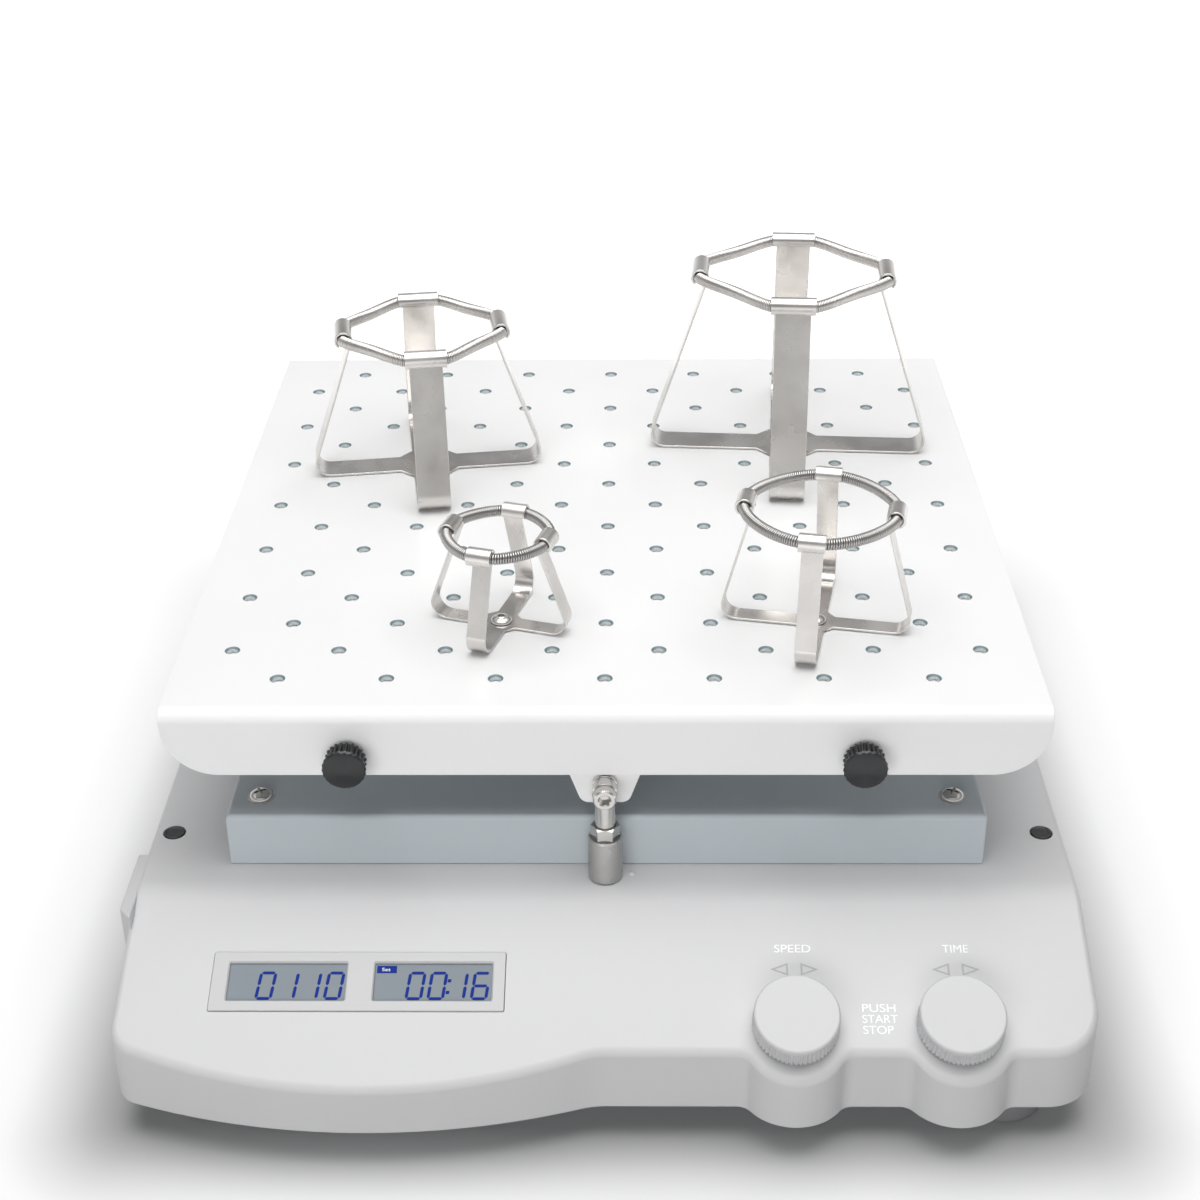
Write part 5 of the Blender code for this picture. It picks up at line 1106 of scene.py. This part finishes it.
def make_switch():
    inner = POD_X + SWITCH_DEPTH
    rim = 2 * SWITCH_RIM
    body = raw_object("switch_bezel", block(
        (POD_X, POD_X + SWITCH_RECESS - SEAT_GAP), around(SWITCH_Y, SWITCH_LENGTH + rim),
        around(SWITCH_Z, SWITCH_HEIGHT + rim)), BLACK)
    round_edges(body, SHEET_EDGE, 3)
    fuse(body, block((POD_X + SEAT_GAP, inner), around(SWITCH_Y, SWITCH_LENGTH),
                     around(SWITCH_Z, SWITCH_HEIGHT)))
    cut(body, block((POD_X - OVERRUN, inner - SWITCH_RIM), around(SWITCH_Y, SWITCH_LENGTH - rim),
                    around(SWITCH_Z, SWITCH_HEIGHT - rim)))
    settle(body, "base", "black_plastic", ["power_switch_frame"])
    reach = SWITCH_LENGTH / 2 - SWITCH_RIM * 3 / 2 - 2 * SEAT_GAP
    depth = SWITCH_DEPTH / 2
    place = at(POD_X + depth / 2, SWITCH_Y, SWITCH_Z) @ turned_by(ROCKER_TILT_DEG, "Z")

    def face_x(v):
        return -depth / 2 - ROCKER_PROUD + ROCKER_PROUD / 2 * (1 - (v / reach) ** 2)

    outline = [(face_x(v), v) for v in [reach * (i / 6 - 1) for i in range(13)]]
    outline += [(depth / 4, reach * 2 / 3), (depth / 2, 0), (depth / 4, -reach * 2 / 3)]
    rocker = prism(outline, *around(0, SWITCH_HEIGHT - rim - 2 * SEAT_GAP))
    add_piece("rocker_cap", rocker, BLACK, place, "rocker_switch", "black_plastic", ["power_rocker"],
              edge=EDGE, sharp_deg=30)
    thickness = around(0, MARK_THICKNESS)
    bar = block(around(0, ON_MARK_WIDTH), around(0, ON_MARK_LENGTH), thickness)
    ring = turned(rod_profile(OFF_MARK_RADII[1], *thickness, bore=OFF_MARK_RADII[0]), 32)
    for name, bm, share in (("on", bar, -MARK_PLACE_SHARE), ("off", ring, MARK_PLACE_SHARE)):
        v = reach * share
        lean = Matrix.Rotation(math.atan2(ROCKER_PROUD * v / reach ** 2, 1), 4, "Z")
        add_piece("switch_%s_mark" % name, bm, LETTERS, place @ at(face_x(v), v, 0) @ lean @ TO_LEFT,
                  "rocker_switch", "black_plastic")


def make_inlet():
    seat = REAR_Y + SEAT_GAP
    face = seat + INLET_FLANGE
    back = REAR_Y - INLET_DEPTH
    place = at(INLET_X, 0, INLET_HEIGHT) @ TO_REAR
    outline = box_outline(INLET_FLANGE_WIDTH, INLET_FLANGE_HEIGHT, INLET_FLANGE_CORNER)
    inlet = raw_object("inlet_body", prism(outline, seat, face), BLACK, place)
    round_edges(inlet, EDGE)
    outline = box_outline(INLET_BODY_WIDTH, INLET_BODY_HEIGHT, INLET_CORNER)
    fuse(inlet, prism(outline, back, face - INLET_FLANGE / 2), place)
    wide, tall = INLET_BODY_WIDTH / 2 - INLET_WALL, INLET_BODY_HEIGHT / 2 - INLET_WALL
    step_x, step_y = wide - SOCKET_CUT_CORNER, SOCKET_CUT_CORNER - tall
    socket = [(wide, tall), (wide, step_y), (step_x, -tall), (-step_x, -tall),
              (-wide, step_y), (-wide, tall)]
    floor = back + INLET_WALL
    cut(inlet, prism(rounded(socket, [INLET_CORNER] * 6, 4), floor, face + OVERRUN), place)
    settle(inlet, "base", "black_plastic", ["power_inlet"])
    for name, spot in PIN_PLACES.items():
        outline = box_outline(PIN_WIDTH, PIN_HEIGHT, EDGE, *spot, 3)
        add_piece("inlet_pin_" + name, prism(outline, floor - PIN_ROOT, face - PIN_BELOW_FACE), NICKEL,
                  place, "base", "steel", edge=EDGE)


# Mechanism cover

def make_cover():
    """Folded sheet box, open below, with rounded top folds and open seams at its corners."""
    steps = [(0.0, COVER_LOW)]
    for turn in [math.pi / 2 * i / 8 for i in range(9)]:
        steps.append((COVER_BEND * (1 - math.cos(turn)), COVER_TOP - COVER_BEND * (1 - math.sin(turn))))
    rows = []
    for back, z in steps:
        corner = max(COVER_CORNER - back, COVER_LEAST_CORNER)
        outline = box_outline(COVER_WIDTH - 2 * back, COVER_DEPTH - 2 * back, corner, steps=4)
        rows.append([(x, y, z) for x, y in outline])
    bm = bmesh.new()
    loft(bm, rows)
    cover = raw_object("cover_shell", bm, GREY_COAT, PLATFORM_PLACE)
    low, inner_top = COVER_LOW - OVERRUN, COVER_TOP - COVER_SHEET
    inside = (around(0, size - 2 * COVER_SHEET) for size in (COVER_WIDTH, COVER_DEPTH))
    cut(cover, block(*inside, (low, inner_top)), PLATFORM_PLACE)
    outline = box_outline(COVER_SLOT_WIDTH, COVER_SLOT_LENGTH, COVER_SLOT_CORNER)
    bm = prism(outline, inner_top - OVERRUN, COVER_TOP + OVERRUN)
    seam = around((COVER_LOW + COVER_TOP - COVER_BEND) / 2 - OVERRUN, COVER_TOP - COVER_BEND - low)
    for x in around(0, COVER_WIDTH):
        for y in around(0, COVER_DEPTH - 2 * COVER_SHEET):
            block(around(x, 2 * COVER_SHEET * COVER_SEAM_DEPTH_SHARE), around(y, COVER_SEAM), seam, bm)
    cut(cover, bm, PLATFORM_PLACE)
    settle(cover, "base", "grey_coat", ["mechanism_cover"])
    radius, height = COVER_SCREW_RADIUS, COVER_SCREW_HEIGHT
    flange = radius + COVER_SCREW_FLANGE
    profile = [(0, -COVER_SCREW_SUNK), (flange, -COVER_SCREW_SUNK), (flange, FINE_EDGE), (radius, EDGE)]
    profile += dome(radius, height, 9, EDGE)[:-1] + [(0, EDGE + height * COVER_SCREW_CROWN_SHARE)]
    y = COVER_DEPTH / 2 - COVER_SCREW_FROM_END
    for name, x, y in corner_places(COVER_SCREW_X, -y, y):
        place = at(x, PLATFORM_Y + y, COVER_TOP) @ turned_by(math.copysign(COVER_SCREW_TURN_DEG, x * y), "Z")
        screw = raw_object("cover_screw_" + name, turned(profile, 48), NICKEL, place)
        bm = bmesh.new()
        for wide, long in ((CROSS_WIDTH, CROSS_LENGTH), (CROSS_LENGTH, CROSS_WIDTH)):
            block(around(0, wide), around(0, long), around(height, CROSS_HEIGHT), bm)
        cut(screw, bm, place, crossing=True)
        settle(screw, "base", "bright_steel")


# Pivots

def make_pivot(end, side):
    y = PLATFORM_Y + side * POST_FROM_CENTRE
    upright = at(0, y, 0)
    eye = at(0, y, PIVOT_HEIGHT) @ (TO_FRONT if side < 0 else TO_REAR)
    top = COVER_LOW + POST_HEIGHT
    bore = ROD_RADIUS + SEAT_GAP
    profile = rod_profile(POST_RADIUS, COVER_LOW, top, EDGE, POST_BEVEL, bore)
    add_piece(end + "_pillar", turned(profile, 72), STEEL, upright, "base", "bright_steel",
              [end + "_post"], sharp_deg=25)
    low, high = top + SEAT_GAP / 3, top + SEAT_GAP / 3 + NUT_HEIGHT
    nut = raw_object(end + "_jam_nut", prism(hexagon(NUT_FLATS), low, high), NICKEL, upright)
    corner = NUT_FLATS / 2 / math.cos(math.pi / 6) + FINE_EDGE
    cone = [(0, low - OVERRUN), (corner, low - OVERRUN), (corner, high - NUT_CROWN)]
    cone += [(NUT_FLATS / 2 - NUT_FACE_STEP, high), (0, high)]
    combine(nut, turned(cone, 72), "INTERSECT", upright)
    cut(nut, turned(rod_profile(bore - SEAT_GAP / 2, low - OVERRUN, high + OVERRUN), 48), upright)
    settle(nut, "base", "bright_steel", [end + "_lock_nut"], sharp_deg=20)

    neck = PIVOT_HEIGHT - EYE_RADIUS
    profile = [(0, COVER_LOW), (ROD_RADIUS, COVER_LOW), (ROD_RADIUS, neck - ROD_TAPER_START)]
    profile += [(ROD_RADIUS - ROD_TAPER, neck + ROD_TAPER_END), (0, neck + ROD_TAPER_END)]
    rod = raw_object(end + "_eye_rod", turned(profile, 56), NICKEL, upright)
    half = EYE_LENGTH / 2
    flat, clear = half - EYE_FLAT_STEP, ROD_RADIUS + OVERRUN
    for span in ((flat, clear), (-clear, -flat)):
        cut(rod, block((-EYE_RADIUS, EYE_RADIUS), (-EYE_RADIUS - FINE_EDGE, EYE_RADIUS), span), eye)
    fuse(rod, turned(rod_profile(EYE_RADIUS, -half, half, EDGE, SHEET_EDGE)), eye)
    hole = SCREW_RADIUS + PIVOT_CLEARANCE
    cut(rod, turned(rod_profile(hole, -half - OVERRUN, half + OVERRUN), 42), eye)
    settle(rod, "base", "bright_steel", [end + "_pivot_rod"], sharp_deg=25)

    tab = CARRIER_HALF_DEPTH - POST_FROM_CENTRE
    profile = rod_profile(EYE_RADIUS, tab + SEAT_GAP, -half - SEAT_GAP, FINE_EDGE, FINE_EDGE, hole)
    add_piece(end + "_spacer", turned(profile, 56), NICKEL, eye, "platform", "bright_steel",
              [end + "_pivot_washer"], sharp_deg=25)

    head = half + SEAT_GAP
    top = head + SCREW_HEAD_HEIGHT
    tail = tab - CARRIER_SHEET - SCREW_TAIL
    radius, rim = SCREW_HEAD_RADIUS, SCREW_HEAD_RADIUS - SCREW_KNURL_STEP
    shoulder = top - SCREW_HEAD_BREAK
    sink = SCREW_SOCKET_FLATS / 2
    profile = [(0, tail), (SCREW_RADIUS - EDGE, tail), (SCREW_RADIUS, tail + EDGE), (SCREW_RADIUS, head)]
    profile += [(rim, head), (radius, head + FINE_EDGE, 1), (radius, shoulder - FINE_EDGE, 1)]
    profile += [(rim, shoulder), (rim - SCREW_HEAD_BREAK, top), (sink + SCREW_HEAD_BREAK, top)]
    profile += [(sink - EDGE, shoulder - EDGE), (0, shoulder - EDGE)]
    bm = turned(profile, teeth=SCREW_KNURLS, tooth=SCREW_KNURL)
    screw = raw_object(end + "_cap_screw", bm, NICKEL, eye)
    socket = hexagon(SCREW_SOCKET_FLATS, SCREW_SOCKET_TURN_DEG)
    cut(screw, prism(socket, top - SCREW_SOCKET_DEPTH, top + OVERRUN), eye)
    settle(screw, "platform", "bright_steel", [end + "_pivot_screw"], sharp_deg=25)


# Platform

def channel(name, width, half, top, low, bend, sheet, steps):
    """A sheet folded down at its front and rear."""
    centre_y, centre_z = half - bend, top - bend
    section = [(half, low)]
    section += plain_arc((centre_y, centre_z), bend, 0, 90, steps)
    section += plain_arc((-centre_y, centre_z), bend, 90, 180, steps)
    section += [(-half, low), (-half + sheet, low)]
    section += plain_arc((-centre_y, centre_z), bend - sheet, 180, 90, steps)
    section += plain_arc((centre_y, centre_z), bend - sheet, 90, 0, steps)
    section.append((half - sheet, low))
    return raw_object(name, prism(section, *around(0, width)), WHITE_COAT, PLATFORM_PLACE @ TO_RIGHT)


def hole_places():
    for row in range(HOLE_ROWS):
        count = HOLES_IN_SHORT_ROW + row % 2
        y = (row - (HOLE_ROWS - 1) / 2) * HOLE_PITCH / 2
        for i in range(count):
            yield (i - (count - 1) / 2) * HOLE_PITCH, PLATFORM_Y + y


def thumb_holes(reach, lift):
    bm = bmesh.new()
    for x in (-THUMB_X, THUMB_X):
        turned(rod_profile(THUMB_SHANK_RADIUS + SEAT_GAP, -reach, reach), 24, bm, (x, lift))
    return bm


def make_plate():
    low = PLATE_TOP - LIP_HEIGHT
    reach = PLATE_DEPTH / 2 + OVERRUN
    plate = channel("shaker_plate", PLATE_WIDTH, PLATE_DEPTH / 2, PLATE_TOP, low, PLATE_BEND,
                    PLATE_SHEET, 12)
    bm = bmesh.new()
    for side in (-1, 1):
        centre = (side * (PLATE_WIDTH / 2 - LIP_CORNER), low + LIP_CORNER)
        arc = plain_arc(centre, LIP_CORNER, 270, 270 + side * 90, 24)
        outer = side * (PLATE_WIDTH / 2 + OVERRUN)
        arc = [(arc[0][0], low - OVERRUN)] + arc + [(outer, arc[-1][1]), (outer, low - OVERRUN)]
        prism(arc, -reach, reach, bm)
    cut(plate, bm, PLATFORM_PLACE @ TO_FRONT)
    round_edges(plate, SHEET_EDGE, 2, 50.0)
    bottom, top = PLATE_TOP - PLATE_SHEET - OVERRUN, PLATE_TOP + OVERRUN
    spread = HOLE_SINK_RADIUS + OVERRUN * (HOLE_SINK_RADIUS - HOLE_RADIUS) / HOLE_SINK_DEPTH
    profile = [(0, bottom), (HOLE_RADIUS, bottom), (HOLE_RADIUS, PLATE_TOP - HOLE_SINK_DEPTH)]
    profile += [(spread, top), (0, top)]
    bm = bmesh.new()
    for spot in hole_places():
        turned(profile, 20, bm, spot)
    cut(plate, bm, None, HOLE_PAINTED_LIGHT_AND_SHADE)
    cut(plate, thumb_holes(reach, THUMB_HEIGHT), PLATFORM_PLACE @ TO_FRONT)
    settle(plate, "platform", "white_coat", ["platform_plate"])


def make_carrier():
    low = CARRIER_TOP - CARRIER_FLANGE
    bend = PLATE_BEND - PLATE_SHEET - SEAT_GAP
    carrier = channel("carrier_tray", CARRIER_WIDTH, CARRIER_HALF_DEPTH, CARRIER_TOP, low,
                      bend, CARRIER_SHEET, 8)
    bottom = PIVOT_HEIGHT - TAB_BELOW_AXIS
    wide, narrow = TAB_TOP_WIDTH / 2, TAB_BOTTOM_WIDTH / 2
    high = low + CARRIER_FLANGE / 2
    flare = wide + TAB_SHOULDER
    corners = [(flare, high), (flare, low), (wide, low), (narrow, bottom), (-narrow, bottom),
               (-wide, low), (-flare, low), (-flare, high)]
    radii = [0, 0, TAB_FILLET, TAB_CORNER, TAB_CORNER, TAB_FILLET, 0, 0]
    for side in (-1, 1):
        place = at(0, PLATFORM_Y + side * (CARRIER_HALF_DEPTH - CARRIER_SHEET / 2), 0) @ TO_FRONT
        fuse(carrier, prism(rounded(corners, radii, 8), *around(0, CARRIER_SHEET - 2 * TAB_STEP)), place)
    round_edges(carrier, FINE_EDGE, 2, 60.0)
    reach = CARRIER_HALF_DEPTH + OVERRUN
    bm = thumb_holes(reach, THUMB_HEIGHT - PIVOT_HEIGHT)
    turned(rod_profile(SCREW_RADIUS + SEAT_GAP, -reach, reach), 40, bm)
    cut(carrier, bm, at(0, PLATFORM_Y, PIVOT_HEIGHT) @ TO_FRONT)
    settle(carrier, "platform", "white_coat", ["platform_carrier"])


def make_thumb_screws():
    rim, low = THUMB_SECTION[-1]
    profile = list(THUMB_SECTION)
    for share in [i / 6 for i in range(1, 6)]:
        profile.append((rim * (1 - share), low + (THUMB_END - low) * share ** 0.9))
    profile.append((0, THUMB_END))
    for name, x, y in corner_places(THUMB_X, -PLATE_DEPTH / 2, PLATE_DEPTH / 2):
        place = at(x, PLATFORM_Y + y, THUMB_HEIGHT) @ (TO_FRONT if y < 0 else TO_REAR)
        bm = turned(profile, teeth=THUMB_TEETH, tooth=THUMB_TOOTH)
        add_piece("thumb_grip_" + name, bm, THUMB, place, "thumb_" + name, "thumb_black",
                  ["thumb_screw_" + name], sharp_deg=28)


# Clamps

def arm_path(foot_radius, ring_radius, ring_height, coil_radius):
    """Centre line of a clamp arm, (radius, height) points from the hub out to the clip's end,
    and the number of the point where the clip starts."""
    half = CLAMP_SHEET / 2
    bend = CLAMP_FOOT_BEND
    curl = coil_radius + CLIP_GAP + half
    foot = (foot_radius - bend - half, SEAT_GAP + half + bend)
    away = (ring_radius - foot[0], ring_height - foot[1])
    heading = math.degrees(math.atan2(away[1], away[0]) + math.asin((bend + curl) / math.hypot(*away)))
    path = plain_arc(foot, bend, -90, heading - 90, 14)
    clip = plain_arc((ring_radius, ring_height), curl, heading + 90, heading + 90 - CLIP_WRAP_DEG, 28)
    return path + clip, len(path)


def add_arm(bm, section, path, clip_start, width, arm):
    """Draw a clamp's strip out along its path, from the four vertices at the hub's side."""
    spin = Matrix.Rotation(math.pi / 2 * arm, 3, "Z")
    half = CLAMP_SHEET / 2
    for k, (radius, z) in enumerate(path):
        before, after = Vector(path[max(k - 1, 0)]), Vector(path[min(k + 1, len(path) - 1)])
        ahead = (after - before).normalized() if k else Vector((1, 0))
        widen = min(max(k - clip_start, 0) / 2, 1) * CLIP_WIDEN_SHARE
        side_w = width / 2 * (1 + widen)
        new = []
        for offset, side in ((-half, -side_w), (-half, side_w), (half, side_w), (half, -side_w)):
            new.append(bm.verts.new(spin @ Vector((radius - offset * ahead.y, side, z + offset * ahead.x))))
        skin(bm, section, new)
        section = new
    bm.faces.new(section)


def make_clamp(size):
    across, along, turn, square = CLAMP_PLACES[size]
    foot, ring, height, width, coil, wire = CLAMP_SIZES[size]
    path, clip_start = arm_path(foot, ring, height, coil)
    low, high = SEAT_GAP, SEAT_GAP + CLAMP_SHEET
    corners = []
    for arm in range(4):
        spin = Matrix.Rotation(math.pi / 2 * arm, 2)
        corners += [spin @ Vector((width * HUB_SHARE, side * width / 2)) for side in (-1, 1)]
    bm = bmesh.new()
    rings = [[bm.verts.new((x, y, z)) for x, y in corners] for z in (low, high)]
    bm.faces.new(list(reversed(rings[0])))
    bm.faces.new(rings[1])
    for arm in range(4):
        right, left, after = 2 * arm, 2 * arm + 1, (2 * arm + 2) % 8
        bm.faces.new((rings[0][left], rings[0][after], rings[1][after], rings[1][left]))
        section = [rings[0][right], rings[0][left], rings[1][left], rings[1][right]]
        add_arm(bm, section, path, clip_start, width, arm)
    place = at(across * HOLE_PITCH, PLATFORM_Y + along * HOLE_PITCH, PLATE_TOP) @ turned_by(turn, "Z")
    clamp = raw_object("flask_clamp_" + size, bm, CLAMP, place)
    cut(clamp, turned(rod_profile(HUB_HOLE_RADIUS, -OVERRUN, 2 * OVERRUN), 32), place)
    round_edges(clamp, CLAMP_EDGE, 2, 50.0)
    settle(clamp, "platform", "clamp_steel", ["clamp_" + size], sharp_deg=50)
    head = high + FINE_EDGE
    turns = [HUB_SCREW_STEP_RAD * i for i in range(9)]
    profile = [*HUB_SCREW_SHANK, (HUB_SCREW_NECK_RADIUS, head)]
    profile += [(HUB_SCREW_RADIUS * math.cos(t), head + HUB_SCREW_HEIGHT * math.sin(t)) for t in turns]
    profile += [(radius, head + z) for radius, z in HUB_SCREW_RECESS]
    add_piece("clamp_screw_" + size, turned(profile, 40), NICKEL, place, "platform", "bright_steel",
              sharp_deg=40)
    make_spring(size, place)


def ring_radius_at(around_turn, size):
    """Radius of the spring's ring: straight through the clips, arched between them."""
    foot, ring, height, width, coil, wire = CLAMP_SIZES[size]
    half_clip = width / 2 * (1 + CLIP_WIDEN_SHARE) + CLIP_GAP
    edge_turn = math.atan2(half_clip, ring)
    turn = (around_turn + math.pi / 4) % (math.pi / 2) - math.pi / 4
    if abs(turn) <= edge_turn:
        return ring / math.cos(turn)
    edge = ring / math.cos(edge_turn)
    share = (abs(turn) - edge_turn) / (math.pi / 2 - 2 * edge_turn)
    return edge + (ring * (1 - CLAMP_PLACES[size][3]) - edge) * math.sin(math.pi * share)


def make_spring(size, place):
    """The garter spring, close wound from thin wire and closed on itself."""
    foot, ring, height, width, coil, wire = CLAMP_SIZES[size]
    curls = round(2 * math.pi * ring / (wire * SPRING_PITCH))
    count = curls * CURL_POINTS
    curve = bpy.data.curves.new("spring_path_" + size, "CURVE")
    curve.dimensions = "3D"
    curve.bevel_depth = wire / 2
    curve.bevel_resolution = 1
    spline = curve.splines.new("POLY")
    spline.points.add(count - 1)
    spline.use_cyclic_u = True
    reach = coil - wire / 2
    for i, point in enumerate(spline.points):
        turn = 2 * math.pi * i / count
        radius = ring_radius_at(turn, size) + reach * math.cos(turn * curls)
        z = height + reach * math.sin(turn * curls)
        point.co = (radius * math.cos(turn), radius * math.sin(turn), z, 1)
    look = SPRING if coil == LARGE_COIL else SHADED_SPRING
    mesh = mesh_from(link("spring_path_" + size, curve), look)
    mesh.transform(place)
    mesh.shade_smooth()
    item = link("garter_spring_" + size, mesh)
    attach(item, "platform")
    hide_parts("spring_" + size)


def dress_nodes():
    """Materials for the solids that show as they are."""
    for look, names in (
            (BOARD, "control_board"), (BELT, "drive_belt"), (BRASS, "crank_roller"),
            (BLACK, "speed_push_actuator time_push_actuator drive_motor crank_pulley"),
            (STEEL, "speed_encoder time_encoder speed_knob_shaft time_knob_shaft motor_bracket "
                    "motor_pulley bearing_housing crank_shaft drive_fork")):
        for name in names.split():
            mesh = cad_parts[name].data
            mesh.materials.clear()
            mesh.materials.append(look)


# Bench, light and camera

def make_stage():
    """A grey bench with a painted glow, for the camera and in reflections, more the farther it lies
    from the part, which leaves it darker round the part as a painted shadow."""
    bm = bmesh.new()
    bmesh.ops.create_grid(bm, x_segments=1, y_segments=1, size=BENCH_HALF_SIZE)
    material = bpy.data.materials.new("bench_painted_glow")
    material.use_nodes = True
    tree = material.node_tree
    tree.nodes.clear()
    coords = add_node(tree, "TexCoord")
    size = add_node(tree, "VectorMath", {0: coords.outputs["Object"]}, operation="ABSOLUTE")
    beyond = add_node(tree, "VectorMath", {0: size.outputs["Vector"], 1: PAINTED_GLOW_HALF_SIZE},
                      operation="SUBTRACT")
    outside = add_node(tree, "VectorMath", {0: beyond.outputs["Vector"], 1: (0, 0, 0)}, operation="MAXIMUM")
    away = add_node(tree, "VectorMath", {0: outside.outputs["Vector"]}, operation="LENGTH")
    rise = add_ramp(tree, away.outputs["Value"], PAINTED_GLOW_STOPS)
    path = add_node(tree, "LightPath")
    seen = add_node(tree, "Math", {0: path.outputs["Is Camera Ray"], 1: path.outputs["Is Glossy Ray"]},
                    operation="MAXIMUM")
    # Painted glow: emission for camera and glossy rays, none next to the part, which keeps a painted shadow
    # there
    power = add_node(tree, "Math", {0: seen.outputs["Value"], 1: rise}, operation="MULTIPLY")
    plain = add_node(tree, "BsdfDiffuse", {"Color": (BENCH_GREY, BENCH_GREY, BENCH_GREY, 1)})
    glow = add_node(tree, "Emission", {"Color": (1, 1, 1, 1), "Strength": power.outputs["Value"]})
    total = add_node(tree, "AddShader", {0: plain.outputs["BSDF"], 1: glow.outputs["Emission"]})
    add_node(tree, "OutputMaterial", {"Surface": total.outputs["Shader"]})
    floor = raw_object("bench_top", bm, material)


def make_world():
    """White to the camera, a studio in reflections, and dim for all other light."""
    world = bpy.data.worlds.new("studio")
    bpy.context.scene.world = world
    world.use_nodes = True
    tree = world.node_tree
    coords = add_node(tree, "TexCoord")
    parts = add_node(tree, "SeparateXYZ", {"Vector": coords.outputs["Generated"]})
    studio = add_ramp(tree, parts.outputs["Z"], STUDIO_STOPS)
    path = add_node(tree, "LightPath")
    glossy = add_node(tree, "Mix", {"Factor": path.outputs["Is Glossy Ray"], "A": WORLD_LEVEL, "B": studio})
    level = add_node(tree, "Math", {0: path.outputs["Is Camera Ray"], 1: glossy.outputs["Result"]},
                     operation="MAXIMUM")
    feed(tree, tree.nodes["Background"], {"Color": (1, 1, 1, 1), "Strength": level.outputs["Value"]})


def add_lamp(name, spot, target, size, watts, glossy):
    data = bpy.data.lights.new(name, "AREA")
    data.shape = "RECTANGLE"
    data.size, data.size_y = size
    data.energy = watts
    lamp = link(name, data)
    lamp.location = spot
    lamp.rotation_euler = (Vector(target) - Vector(spot)).to_track_quat("-Z", "Y").to_euler()
    lamp.visible_glossy = glossy


def make_camera():
    data = bpy.data.cameras.new("photo_camera")
    data.sensor_width = CAMERA_SENSOR
    data.lens = CAMERA_LENS
    data.clip_start, data.clip_end = CAMERA_RANGE
    camera = link("photo_camera", data)
    camera.location = CAMERA_PLACE
    camera.rotation_euler = [math.radians(angle) for angle in CAMERA_TURN_DEG]
    bpy.context.scene.camera = camera


make_camera()
make_housing()
make_underside()
make_deck_plugs()
make_display()
make_lettering()
make_knobs()
make_switch()
make_inlet()
make_cover()
make_pivot("front", -1)
make_pivot("rear", 1)
make_plate()
make_carrier()
make_thumb_screws()
for clamp_size in CLAMP_SIZES:
    make_clamp(clamp_size)
dress_nodes()
make_stage()
make_world()
for lamp_name, lamp_values in LAMPS.items():
    add_lamp(lamp_name, *lamp_values)
bpy.context.scene.view_settings.view_transform = "Standard"
